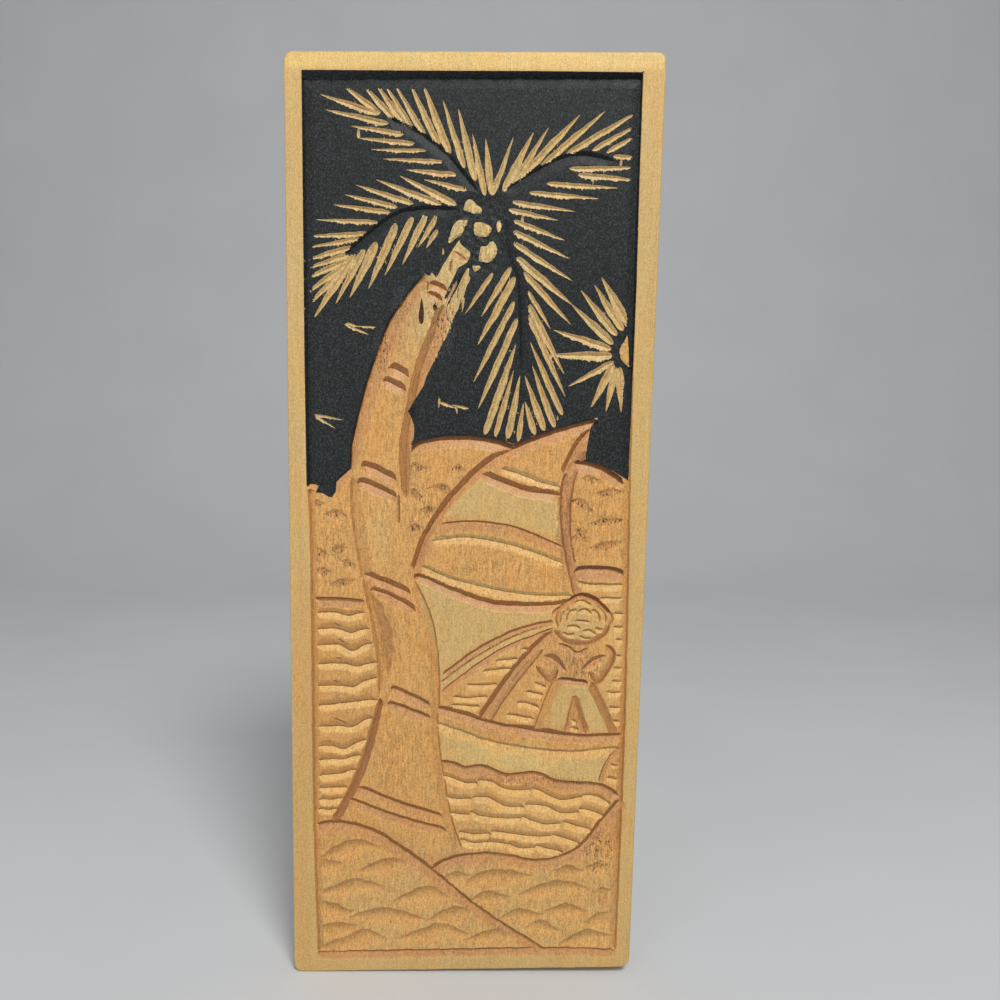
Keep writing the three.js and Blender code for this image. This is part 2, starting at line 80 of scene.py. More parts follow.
def respaced(line, gap):
    """The same line with its points an even distance apart."""
    steps = np.linalg.norm(np.diff(line, axis=0), axis=1)
    along = np.concatenate([[0], np.cumsum(steps)])
    count = max(3, int(round(along[-1] / gap)) + 1)
    wanted = np.linspace(0, along[-1], count)
    return np.stack([np.interp(wanted, along, line[:, axis]) for axis in (0, 1)], 1)


def smooth_curve(points, gap=LINE_GAP):
    """A smooth curve through the points."""
    knots = np.array(points, float)
    last = len(knots) - 1
    t = np.linspace(0, 1, 24, endpoint=False)[:, None]
    pieces = []
    for index in range(last):
        before, start = knots[max(index - 1, 0)], knots[index]
        end, after = knots[index + 1], knots[min(index + 2, last)]
        leave, arrive = (end - before) / 2, (after - start) / 2
        cubic = 2 * start - 2 * end + leave + arrive
        square = 3 * end - 3 * start - 2 * leave - arrive
        pieces.append(cubic * t**3 + square * t**2 + leave * t + start)
    return respaced(np.vstack(pieces + [knots[-1:]]), gap)


def left_of(line):
    """Unit vectors that point to the left of a line."""
    along = np.gradient(line, axis=0)
    along /= np.maximum(np.linalg.norm(along, axis=1), 1e-9)[:, None]
    return np.stack([-along[:, 1], along[:, 0]], 1)


def hand_wander(along, wavelengths=(5.5, 9.7, 17)):
    """A smooth random wave of about unit size, as a hand's drift along a cut."""
    waves = [np.sin(2 * np.pi * (along / length + random.random())) for length in wavelengths]
    return sum(waves) / len(waves) * 1.4


def spread(values, count):
    """One value or several, spread evenly over the points of a line."""
    values = np.atleast_1d(values)
    return np.interp(np.linspace(0, 1, count), np.linspace(0, 1, len(values)), values)


def smooth_step(low, high, value):
    t = np.clip((value - low) / (high - low), 0, 1)
    return t * t * (3 - 2 * t)


# Cuts

def add_cut(line, wall, slope, depth, share, finish, bend):
    """Keeps one cut. share is how much of the full size it has at each point of its line."""
    steps = np.linalg.norm(np.diff(line, axis=0), axis=1)
    along = np.concatenate([[0], np.cumsum(steps)])
    steady = 1 + 0.07 * hand_wander(along)
    line = line + left_of(line) * (0.09 * hand_wander(along) * np.minimum(1, share))[:, None]
    cuts.append(dict(
        line=line,
        wall=wall * share * steady,
        slope=slope * share * (1 + 0.07 * hand_wander(along)),
        depth=depth * share * (1 + 0.06 * hand_wander(along)),
        finish=finish,
        bend=bend,
    ))


def groove(kind, *points, **changes):
    """A cut that keeps its full size, apart from a run-out at both ends. Its wall, slope and depth may hold
    several values, spread evenly along it."""
    kind = {**kind, **changes}
    line = smooth_curve(points)
    heel = kind.get("heel", 0)
    line = line - left_of(line) * (kind.get("shift", 0) + heel)
    length = np.linalg.norm(np.diff(line, axis=0), axis=1).sum()
    run_out = min(kind["run_out"], 0.45 * length)
    along = np.linspace(0, length, len(line))
    rise = np.clip(np.minimum(along, length - along) / run_out, 0, 1)
    wall, slope, depth = (spread(kind[key], len(line)) for key in ("wall", "slope", "depth"))
    add_cut(line, wall + heel, slope, depth, np.sin(rise * math.pi / 2), kind["finish"], kind["bend"])


def leaflet(tip_x, tip_z, base_x, base_z, width, depth=None, finish="raw", gap=LEAF_GAP):
    """A straight cut with a long thin tip, a full belly and a blunt base. Its lower edge is torn into small
    barbs where the leaflet lies across the grain."""
    line = respaced(np.array([(tip_x, tip_z), (base_x, base_z)], float), gap)
    length = math.hypot(base_x - tip_x, base_z - tip_z)
    from_tip = np.linspace(0, length, len(line))
    taper = np.clip(from_tip / min(13, 0.6 * length), 0, 1) ** 0.7
    blunt = np.clip((length - from_tip) / min(4, 0.3 * length), 0, 1)
    share = taper * np.sqrt(1 - (1 - blunt) ** 2)
    if base_x < tip_x:
        line, share = line[::-1], share[::-1]
    level = abs(base_x - tip_x) / length
    spikes = random.random(len(line)) ** 3 * (finish == "raw") * smooth_step(0.75, 0.98, level)
    slope = width * 0.53 + 0.75 * spikes
    add_cut(line, width * 0.45, slope, depth or LEAF_DEPTH * width, share, finish, (0.9, 0.9))


def nick(start, end, width=0.55, finish="raw"):
    """A short stroke of the narrow tool, such as a bird's wing."""
    leaflet(*end, *start, 1.4 * width, 0.5 * width, finish, 0.5)


def gouge_mark(kind, *crest):
    """A hollow with its crest along a bowed line, which dies away below it."""
    line = smooth_curve(crest)
    share = np.sin(math.pi * np.linspace(0.03, 0.97, len(line))) ** 0.7
    line = line - left_of(line) * (kind["wall"] * share)[:, None]
    add_cut(line, kind["wall"], kind["slope"], kind["depth"], share, kind["finish"], kind["bend"])


def cut_rim():
    """The grooves that part the picture from the board's plain rim."""
    top = dict(wall=(2.5, 1.6, 1), slope=4, depth=2, run_out=1, finish="paint", bend=(1, 1))
    side = dict(wall=0.6, slope=3, depth=1.1, run_out=1, finish="paint", bend=(1, 1.1))
    groove(top, (-57.8, 154.7), (-20, 156.1), (20, 157.3), (56, 158.4))
    groove(side, (-56, 18), (-56.6, 40), (-57.1, 156))
    groove(side, (55.4, 158.6), (55.7, 82), (56.4, 22))
    groove(side, (-54, -158), (-55.2, -107), (-55.6, -7), (-56.3, 18), finish="edge", slope=2.2)
    groove(side, (56.4, 24), (57.8, -58), (57.9, -120), (57.7, -156.4), finish="edge", slope=2.2)
    groove(DEEP, (-54.6, -157.9), (-4.7, -156.6), (32.4, -155.6), (57.6, -156.1), wall=1.1, depth=1,
           run_out=1, shift=0.5, heel=0)


def cut_fronds():
    """Leaflets, each from its tip to its base with its width, and the painted ribs between them."""
    leaves = (
        # upper side of the spray up to the left
        (-44.7, 153.5, -31.6, 144.2, 2), (-37.9, 153.8, -27, 142.6, 2.1), (-33.6, 154.1, -22.6, 140.3, 2.3),
        (-30.5, 154.1, -20.2, 138.8, 1.9), (-27.1, 154.2, -16.2, 136.7, 2), (-22, 154.5, -11.6, 133.8, 2.3),
        (-17.7, 154.6, -8.1, 131.5, 2.5), (-10.7, 149, -3.2, 127.3, 2.1), (-5.5, 146.4, 0.6, 123.3, 2.5),
        (-0.7, 138.6, 3.9, 118.6, 2.2), (3.8, 137, 6.1, 118.9, 2.5),
        # its lower side
        (-51.4, 149.8, -31.8, 143.9, 2), (-49.8, 145, -28.7, 141, 1.9), (-41.4, 140, -23.6, 137.8, 1.7),
        (-39.2, 136.2, -20, 134.9, 1.6), (-34.6, 132.6, -16.1, 132.7, 1.2), (-30.7, 129.7, -10.4, 129.3, 1.4),
        (-22.8, 126.4, -5.7, 125.1, 1.9), (-16.9, 123.4, -2.2, 120.3, 1.6),
        # upper side of the spray that arches down to the left
        (-25, 124.4, -5.7, 115.4, 2.3), (-33, 123, -10.9, 115.4, 2.1), (-39.8, 121.1, -20.2, 115.4, 1.9),
        (-43.4, 117.9, -25.6, 114.2, 1.7), (-47.3, 114.5, -28.1, 112.4, 1.7), (-53.3, 109.5, -32.3, 109.1, 1.5),
        (-57.3, 103.8, -35.6, 105.4, 1.6), (-57.3, 100, -38.3, 103.7, 1.4), (-57.9, 95.7, -41, 100.9, 1.9),
        (-58.1, 92.7, -41, 98.8, 1.9), (-58.6, 89.1, -42.4, 96.6, 2), (-58.5, 83.6, -42, 96, 2.1),
        (-57.6, 79.2, -44.3, 93.5, 1.9), (-54.1, 76.8, -40.2, 98.8, 2.8),
        # its lower side
        (-46.7, 81.7, -36.9, 100.5, 2.5), (-41.9, 83.8, -32.7, 102.7, 3), (-35.5, 87, -26.1, 108.9, 2.8),
        (-30, 91.4, -20.5, 111.4, 2.4), (-24, 95.2, -16.1, 112, 2.4), (-18.7, 101, -12.4, 111.7, 1.9),
        (-16, 100.8, -12.1, 107.3, 1.7),
        # upper side of the spray up to the right
        (13.1, 137.9, 6.3, 118.7, 1.8), (19.8, 139.5, 9.9, 120.1, 2.7), (24.9, 141.2, 12.8, 121.9, 2.1),
        (35.3, 145.5, 14.3, 123.5, 2.4), (43.6, 146.8, 22.3, 128.4, 2.1), (54.9, 147.1, 30.9, 132.6, 2),
        (55.6, 143.2, 39.6, 134.1, 1.7), (55.6, 139.9, 44.4, 133.5, 1.5), (56, 132, 46.8, 132.5, 1.5),
        # its lower side
        (55.9, 128.9, 32, 128, 1.6), (56.6, 124.7, 35, 126.2, 1.8), (48.8, 122.1, 24.6, 123, 1.6),
        (42.6, 118.5, 18.7, 120, 1.6), (34.6, 114.1, 13.1, 116.8, 1.8), (28.9, 111.1, 11.9, 114.3, 1.7),
        (31.4, 104.5, 13.7, 110.7, 1.8),
        # right side of the spray that hangs down
        (33.1, 98.5, 13.3, 107.4, 1.9), (34.3, 91.1, 13.1, 103.7, 2), (34.6, 83, 14.2, 99.1, 2.6),
        (34.3, 76.3, 17.2, 93.9, 2.2), (27.3, 74.7, 19.1, 87.4, 1.6), (32.4, 59.4, 19.5, 83.1, 2.3),
        (33, 51.6, 19.5, 79.7, 2.1), (20.2, 70.4, 32.2, 45.3, 2.1), (21.2, 62.2, 29.6, 40.9, 2.3),
        (18.7, 58.8, 26.1, 39.8, 2.5), (18.9, 49.9, 22.8, 38.3, 2.3), (18.4, 49.4, 16.8, 35.8, 1.9),
        # its left side
        (-2.4, 79.2, 7, 93.3, 1.7), (3.2, 78.4, 13.1, 95.4, 2.1), (2.1, 68.8, 14.6, 92.2, 2.6),
        (0.8, 55.9, 14.5, 83.9, 2), (2.6, 46.9, 15.6, 78.2, 2.2), (15.4, 69.5, 5, 38, 2.5),
        (14.8, 60.6, 8.7, 37.4, 2), (17, 58.8, 13.1, 36.7, 2.5),
        # the palm that looks in over the right edge
        (44.2, 92.7, 53.6, 77.6, 3.2), (41.9, 90, 52.4, 74.8, 2.9), (37.2, 88.2, 50.2, 73, 2.7),
        (34, 83.5, 49.1, 70.1, 2.8), (28.2, 74.5, 48.5, 68.4, 2.6), (27, 65.9, 48.9, 66.2, 3.1),
        (33.8, 55.3, 49.5, 64.2, 2.1), (42, 48.2, 49.4, 63.4, 2.9), (47.3, 46.9, 50.2, 62.4, 2.6),
        (52.7, 46.7, 51.6, 62.4, 2.8), (48.6, 86.2, 53.9, 75.8, 1.6),
        # slips that join two leaflets
        (-38, 146.6, -38, 144, 1.3), (-32.7, 142.2, -32.8, 139.9, 1.4), (-38.8, 139.8, -38.6, 136, 1),
        (-33.4, 145.4, -31.4, 144.4, 1.2), (49.7, 131.8, 49.3, 129.2, 0.9), (16.6, 112.4, 16.8, 109.9, 0.9),
        (28.2, 65.4, 27.2, 65.6, 1.2), (-10.2, 101.2, -10.1, 98.8, 0.7), (30.4, 45.4, 30.6, 43.4, 0.7),
    )
    for leaf in leaves:
        leaflet(*leaf)
    groove(RIB, (-30, 143.4), (-18.6, 138.4), (-8.6, 131), (1.6, 119.5))
    groove(RIB, (-44.5, 97.1), (-33, 107.2), (-22, 113.3), (-5, 114))
    groove(RIB, (10, 119.8), (20, 126.5), (29, 131.2), (38, 132.8), (48, 130.6))
    groove(RIB, (17.6, 60), (17.3, 76), (16, 91), (12.5, 101), (11, 112))


def cut_birds():
    for start, end, width in (
        ((-43.8, 75), (-35.3, 71.6), 0.65), ((-43.2, 75.3), (-38.4, 74.2), 0.6), ((-33, 74.1), (-39, 74.4), 0.5),
        ((-54.8, 43.9), (-47, 39.2), 0.65), ((-54.8, 43.9), (-44.2, 42.2), 0.6), ((-10.8, 50.6), (-11.1, 46.8), 0.55),
        ((-10.8, 49), (-4.2, 46.8), 0.6), ((-0.6, 47), (-6.4, 48.2), 0.6), ((-5, 48), (-4.6, 44.8), 0.55),
    ):
        nick(start, end, width)


def cut_trunk():
    ring = {**DEEP, "run_out": 2.2, "depth": 1.3}
    # left edge: foot, middle with its soft bevel, and top against the sky
    groove(BEVEL, (-31.1, -58), (-34.4, -70), (-38.1, -83), (-42.6, -94), (-49, -105.8), wall=(1.4, 2.4, 2.4, 2.2),
           slope=1, run_out=2, finish="stain")
    groove(BEVEL, (-31.4, -57), (-31.8, -45), (-33.8, -30), (-36.4, -18), (-39.8, 0), (-41, 12), (-41.2, 23),
           slope=(1.4, 1.2, 1.4, 3.6, 4, 3.4, 2.6), depth=0.9)
    groove(BEVEL, (-41.4, 24), (-41.3, 32), (-39, 43), (-35.8, 55), (-32, 66), (-27.8, 76.4), (-22, 85), (-15.4, 93),
           slope=(2.4, 4.6, 4.8, 4.6, 4, 2.6), depth=1.5, finish="blush")
    # lower left bevel, which faces away from the light: its brown wall, with a blotch, is partly painted shade
    groove(BEVEL, (-35.4, -17.4), (-33, -27), (-30.6, -36), (-28.6, -50), wall=(0.8, 3.6, 4, 3, 1), slope=1.4)
    # right edge, with the long brown wall below the crown, partly painted shade on that shadowed bevel
    groove(BEVEL, (-22.2, 15), (-22.2, 30), (-21.4, 40), (-19.2, 50), (-17.2, 60), (-12.9, 72), (-9.6, 82.4),
           wall=(1.4, 2.8, 2.6, 2.8, 2.6, 2.2), slope=(1.4, 1.8, 2.4, 3.2, 4, 3.4), depth=1.4, finish="long")
    groove(BEVEL, (-19, -14.5), (-13.2, -28), (-11, -40), (-10.2, -50), (-10.2, -59), (-10.6, -68), (-9.4, -80),
           (-7.4, -92), (-4.6, -106), (-0.6, -117), wall=0.7, slope=(2.6, 3.6, 3, 2.6, 3.4, 2.4), depth=1)
    for start, middle, end, wall in (
        ((-15, 90.2), (-11.4, 89.4), (-8, 87.5), 1), ((-15.3, 87.2), (-12.4, 86), (-9.7, 84.2), 0.9),
        ((-28.6, 61.8), (-26, 61.4), (-20.8, 58.5), 1.9), ((-31, 57), (-28, 56.6), (-21.8, 53.4), 1.6),
        ((-38.8, 26.6), (-35.8, 27.4), (-25, 22.4), 1.8), ((-40.2, 20.8), (-36.8, 21.4), (-25, 16.4), 1.6),
        ((-38, -12), (-35.6, -11.9), (-19.8, -18.2), 1.8), ((-35.4, -16.9), (-28, -19), (-18, -24.7), 1.6),
        ((-28, -54.2), (-25.2, -54.1), (-12.4, -60), 1.2), ((-29.2, -59.7), (-25.8, -59.9), (-12.2, -65), 1.1),
        ((-39.2, -91.4), (-25, -97.4), (-7.8, -102.7), 1.3), ((-42.4, -96.3), (-25, -103), (-6.2, -108.2), 1.1),
    ):
        groove(ring, start, middle, end, wall=wall, shift=wall / 2)
    groove(HAIR, (-15.5, 90), (-15.4, 86.8), wall=0.6)
    groove(HAIR, (-24.8, 16.4), (-24.9, 6), wall=0.5)
    groove(HAIR, (-22.4, 20), (-22.5, 15.6))
    leaflet(-17.3, 84.4, -17.4, 75.4, 1.9, 0.6, "dark", 0.5)
    # the neck, and the strips torn out beside it
    groove(FINE, (-6.8, 100.6), (-4.8, 99.2), (-2, 97.4), slope=1.4, shift=0.2)
    groove(FINE, (-7.6, 93), (-7.2, 97), (-8, 95), slope=0.5)
    for tip, base, width, finish in (
        ((-1.3, 94.8), (-5.2, 86), 0.9, "raw"), ((-3, 91.6), (-5.4, 81.6), 0.9, "raw"), ((-1, 92), (-2.6, 87.4), 0.6, "raw"),
        ((-2.3, 89.6), (-3.9, 82.6), 0.7, "raw"), ((-3.2, 93.4), (-9, 81), 0.8, "dark"),
        ((-5, 90.5), (-10.2, 80), 0.7, "torn"), ((-6.2, 87.8), (-8, 82.2), 0.6, "dark"),
        ((-4.6, 88.4), (-5, 83), 0.5, "dark"), ((-7, 85), (-7.4, 79.6), 0.5, "torn"),
        ((-13, 82.4), (-11.6, 79), 1.1, "dark"), ((-2.9, 85), (-3.4, 79.6), 0.6, "raw"),
    ):
        nick(tip, base, width, finish)
    for place in np.linspace(0, 1, 17):
        x = -5.4 - 15.4 * place + random.uniform(-0.3, 0.4)
        z = 83 - 35.5 * place**0.93
        nick((x, z), (x - 0.2, z - random.uniform(1.2, 3)), random.uniform(0.3, 0.6))


def cut_hills():
    crest = {**DEEP, "wall": (1.4, 2.1, 2, 1.6), "slope": 3, "shift": 2.1, "heel": 0, "finish": "crest"}
    groove(FINE, (-57, 18.4), (-54.6, 20), (-51, 18.6), slope=2, finish="crest")
    groove(FINE, (-47.6, 16), (-46.4, 20.8), (-41, 25.8), slope=2.4, finish="blush")
    groove(crest, (-22, 33), (-18, 36.2), (-8, 37.9), (2, 38), (10, 36.7), (17.4, 34.6))
    groove(crest, (37, 30.8), (45.5, 28.8), (50, 26.6), (55.6, 23.2))
    for mark in (
        ((40, 23.6), (42.4, 24.8), (45.6, 23)), ((35.6, 15.4), (39.6, 16.4), (44.6, 11.6)),
        ((44.6, 18.2), (50, 20.2), (54.6, 19)), ((43.4, 7.6), (48.6, 9.6), (54.8, 9.2)),
        ((36.8, 2), (39.6, 5), (42.8, 1)), ((42.6, -1.6), (48, 0.8), (54.8, 1.4)),
        ((-22, 26.6), (-18.6, 28), (-14.8, 25.6)), ((-14.6, 19.2), (-9.4, 20.6), (-5, 17.6)),
        ((-22.2, 18.4), (-19.2, 18.6), (-16.4, 16)), ((-17.4, 11.4), (-13.6, 13), (-10.4, 10.4)),
        ((-21.6, 4.8), (-18.8, 6.6), (-16.2, 4.8)), ((-6.4, 26), (-3.8, 27.6), (-1.4, 25.4)),
        ((-55, -3.6), (-52.4, -3), (-49.4, -5.4)), ((-48.6, -2.8), (-46, -2), (-43.4, -2.6)),
        ((-45, -7.4), (-43, -6.6), (-40.4, -9)), ((-50.4, 9.4), (-47, 11), (-43.4, 9)),
        ((-55.4, 13.4), (-53.4, 14.4), (-51, 13)), ((-54.6, -10.6), (-51.6, -9.8), (-48.4, -11.6)),
        ((-49.4, -16), (-45.6, -14), (-40.2, -14.2)),
    ):
        gouge_mark(SCOOP, *mark)


def cut_sail():
    # luff, from the tack up to the peak
    groove(DEEP, (-20.4, -10), (-18.9, -5), (-15.6, 3.4), (-10, 12.2), (-3.6, 20), (2.2, 25.8), (9, 31.2), (16, 34.6),
           wall=(1.2, 1.3, 1.7, 1.8, 1.6), slope=(2.4, 2.2, 2, 2.6, 3), shift=0.8, run_out=1)
    groove(DEEP, (14, 33.8), (20, 36.4), (30, 40.3), (44.6, 44.6), wall=1.5, slope=3, shift=0.9, finish="crest", run_out=2)
    # after edge and mast
    groove(DEEP, (32.4, 25), (35, 31.4), (38, 36.6), (42.2, 41.6), slope=2, wall=1.2)
    groove(LIGHT, (38.4, -19.4), (35.6, -8), (33.6, 2), (32.4, 14), (33.4, 23.4), (36.4, 30), wall=0.9, slope=2.8,
           depth=1, finish="rough")
    groove(LIGHT, (41.4, 33), (37.6, 26), (35.6, 14), (36, 2), (38, -8), wall=0.7, slope=1.4, depth=0.7, shift=0,
           finish="rough")
    # upper bands
    groove(LIGHT, (11, 27.2), (17, 25.4), (25, 22.6), (32.6, 20.8), shift=1, wall=1.6, slope=2)
    groove(DEEP, (4, 25), (12, 21.6), (21, 18.8), (32.6, 17.6), slope=2.6, run_out=3, shift=0.2)
    # middle bands
    groove(FINE, (-9.6, 6.2), (3, 7), (17, 5), (33.6, -1.6), slope=3.4)
    nick((-9.6, 9), (-9.5, 6), 0.5, "dark")
    groove(LIGHT, (-13, 0.4), (-2, 1.9), (10, 0.5), (23, -2.9), (34.6, -7.3), wall=1.5, shift=0.6)
    # lower bands
    groove(LIGHT, (-16.6, -9), (-6, -13.4), (8, -16.8), (22, -18.9), (38, -19), wall=1.4, slope=2.6, shift=0.3)
    groove(DEEP, (-19.6, -13.6), (-17, -12.4), (-6, -17.2), (8, -22), (22, -22.8), (33, -21.9), (38.4, -19.8),
           wall=(0.8, 1.5, 1.7, 1.7), slope=2.4, shift=0.2)
    # boom, with a ridge along it
    groove(FINE, (-9.4, -48.2), (2, -39.4), (13, -33), (23, -29.2), (31.6, -27.4), wall=1, slope=1.6, shift=1.3)
    groove(HAIR, (-9.4, -52), (1, -44), (12, -37), (22, -32.4), (31, -29.6))
    groove(FINE, (-9, -55.6), (1.4, -47), (13, -39), (23, -34.6), (31, -31.2), wall=0.6)


def cut_pole():
    groove(DEEP, (4.8, -65.2), (13.4, -51.8), (20.4, -42.2), (30, -32), slope=1.6, depth=1.3, wall=1.6, shift=0.4)
    groove(HAIR, (7.4, -64.4), (13.2, -55.8), (24.6, -40.6))
    groove(FINE, (27.6, -38.8), (15.4, -55.4), (9, -66.2), slope=2, wall=0.5)


def cut_fisherman():
    limb = dict(wall=0.6, slope=1.8, depth=0.9, run_out=2.5, finish="stain", bend=(1, 1.1))
    # hat: over its crown, then under its brim
    groove(DEEP, (30, -25.8), (34.6, -22), (40, -18.8), (46, -20.2), (52, -25.4), wall=(0.8, 1, 1.4, 1.6, 1.3, 0.8), slope=1.2,
           finish="dusky", shift=0.6, heel=0)
    groove(LIGHT, (51.4, -29), (49.6, -33), (45, -36), (38.6, -36.7), (34.6, -35), (31.2, -32), wall=0.6, slope=1.8,
           shift=0, finish="stain")
    groove(FINE, (38.4, -28.4), (41.5, -28.5), (44.6, -28.8), slope=0.8)
    for swirl in (
        ((33.8, -29.6), (34.2, -26.4), (36.6, -24.2)), ((36, -28.6), (37, -25.2), (39.8, -24.4)),
        ((38.4, -22.2), (41, -21), (44.6, -22.6)), ((39.6, -25.4), (42.4, -24.2), (44.8, -26)),
        ((44.6, -24), (47, -25.6), (47.4, -28.6)), ((46.4, -22.6), (49.2, -25.6), (49.8, -29)),
        ((34.4, -32.4), (36.6, -33.8), (39, -33)), ((46.2, -30.4), (47.8, -31.6), (49, -31)),
        ((35.6, -31), (38.6, -30.4), (41, -31.2)), ((36.2, -22.8), (35.4, -25.2), (33.2, -27)),
        ((50.2, -24.2), (52, -27.4), (50.6, -30.6)), ((41.4, -32.4), (44, -32), (46.6, -33.6)),
        ((40.6, -33.6), (42.4, -35), (44.8, -34.8)), ((33, -24.4), (31.6, -27.6), (32.6, -31)),
    ):
        groove(SCRIBBLE, *swirl)
    # neck opening
    groove(LIGHT, (32.8, -36.4), (36.6, -37.6), (40, -39.7), (43.8, -37.8), wall=0.6, slope=1.8, finish="stain")
    # arms and elbows
    groove(limb, (28, -40.8), (32, -42.4), (36.8, -46.8), wall=(2, 2, 0.8), shift=0.8)
    groove(limb, (41.4, -46.4), (45.4, -43.2), (50.4, -40.4), wall=(0.8, 1.8, 1.2), shift=0.5)
    groove(limb, (33.4, -46.2), (31, -50.8), (27, -48), (25, -45), wall=0.5)
    groove(limb, (50, -36.8), (53, -40.6), (51.4, -46), (47.8, -51.2), (44.4, -47), wall=(1.4, 1, 0.6, 0.6))
    # belt and trousers
    groove(DEEP, (33, -49.4), (38, -49.8), (44.6, -50.8), wall=1.1, slope=2, depth=1.1, shift=0.8, finish="dusky", heel=0.2)
    groove(LIGHT, (25, -70), (28.6, -59), (32.2, -49.4), wall=0.7, slope=3.2, shift=0, finish="bevel")
    groove(LIGHT, (55.4, -70.6), (50.6, -60), (45.6, -50.8), wall=2.6, slope=0.8, shift=0, finish="long")
    groove(LIGHT, (36, -70.6), (37.6, -63), (39.5, -56), wall=0.8, slope=1.9, finish="bevel")
    groove(LIGHT, (39.5, -56), (42, -63.4), (44.6, -70.6), wall=1.9, slope=1.4, shift=0.8, finish="long")


def cut_boat():
    groove(DEEP, (-10.4, -60.7), (0, -63.8), (6, -65.6), (15, -67.4), (24, -69.2), (34, -70.6), (46, -71),
           (57.6, -70.4), wall=(1, 2, 1.2, 0.7, 2, 1.9, 1, 1.1, 1.1), slope=2.8, shift=0.6)
    groove(LIGHT, (-10.6, -67), (0, -70.8), (8, -73.6), (20, -76), (38, -77.6), (56.6, -75.6), wall=1.2, slope=3.2)
    groove(LIGHT, (49.6, -89.8), (50.6, -85), (53, -80), (57.4, -75.4), wall=0.6, slope=1.6, shift=0, finish="stain")
    groove(DEEP, (-9, -81.8), (-4.6, -82.4), (0, -84.2), (5, -83.3), (9.4, -84.6), (15.6, -86.8), (22, -86),
           (27, -86.2), (34, -89), (42, -89.7), (49, -90), (53, -91.4), (57.4, -95), wall=0.8, slope=3.6,
           shift=0.1)


def cut_left_sea():
    groove(DEEP, (-55.2, -21), (-46, -20.9), (-36.6, -21.6), wall=0.9, slope=3.6, shift=0.8, heel=0)
    # each row: its left end, its dip and its right end
    for left, dip_x, dip, right in (
        (-27, -43, -28, -26.4), (-33, -42.4, -34.3, -32.4), (-39, -41.6, -41, -37.6), (-46, -39.8, -46.8, -44.8),
        (-54.2, -41.4, -54.4, -50.6), (-61.6, -45, -60.6, -59), (-69.6, -41.4, -69.6, -65.6),
        (-77.2, -44.4, -78, -74), (-82.4, -45, -82, -80), (-88.4, -46, -87.6, -85.6), (-93.4, -47, -93, -92.4),
        (-98, -49, -97.6, -96.8), (-101.8, -50, -101.6, -100.8),
    ):
        end = np.interp(-right, (26, 45, 58, 76, 101), (-36.4, -32.2, -31.6, -36, -46.4))
        rise = 0.5 * (dip_x + end)
        gap = min(2.6, 0.5 * (end - dip_x))
        groove(WAVE, (-54.4, left), (dip_x - 5, left + 0.3), (dip_x, dip), (rise, 0.6 * right + 0.4 * dip), (end, right),
               wall=gap, slope=min(2.2, gap))
    for start, end in (((-48, -30.4), (-43.4, -33)), ((-47.4, -43.2), (-41.4, -45.6)), ((-48.4, -51.8), (-42, -54)),
                       ((-48, -65.8), (-42, -69)), ((-50.4, -74.6), (-47.4, -76.8)), ((-46.6, -36), (-43, -39))):
        groove(HAIR, start, end)


def cut_right_sea():
    groove(DEEP, (37, -9), (40.4, -7.8), (47, -7.6), (53, -8), (57, -9.8), wall=1.4, slope=4, shift=1.7,
           heel=0.2, finish="dusky")
    groove(LIGHT, (38.6, -13.2), (43.6, -14.6), (50, -14.6), (56.2, -14.5), wall=0.9, slope=2.4)
    groove(LIGHT, (46.6, -19.6), (51, -19.6), (56, -19.6), wall=0.8, slope=1.8)
    for x, z in ((52.5, -25.2), (52.5, -30.3), (53.5, -35), (53.8, -41), (53, -45.6), (52.5, -50.6), (50.8, -54.8),
                 (51.8, -60.6), (53.2, -65.8)):
        groove(RIPPLE, (x, z), (0.5 * x + 28.4, z - 0.5), (57, z - 0.2))


def cut_inlets():
    """Water seen between the boom, the pole and the legs, and beyond the stern."""
    for line in (
        ((10.2, -44), (14, -43.5), (18.8, -42.8)), ((5.6, -47.8), (10, -47.2), (16.4, -46.6)),
        ((0, -52.7), (4.5, -53.1), (11.4, -52.4)), ((-5, -57.4), (0, -57.9), (8, -57.2)),
        ((-5.6, -60.6), (0, -60.9), (5.2, -61)), ((19.6, -39), (22.2, -39.4)), ((24.4, -51.6), (29, -53.6)),
        ((21.4, -55.2), (28.2, -56.4)), ((18.2, -59.4), (22, -59.6), (26.8, -61.4)),
        ((14.6, -63.8), (18, -64.4), (24.8, -65.4)), ((38, -65.4), (40.8, -66.6)), ((38, -68.2), (41.6, -69.4)),
        ((53.2, -82.6), (56.6, -83.4)), ((51.8, -87.6), (56.6, -88.6)),
    ):
        groove(RIPPLE, *line)


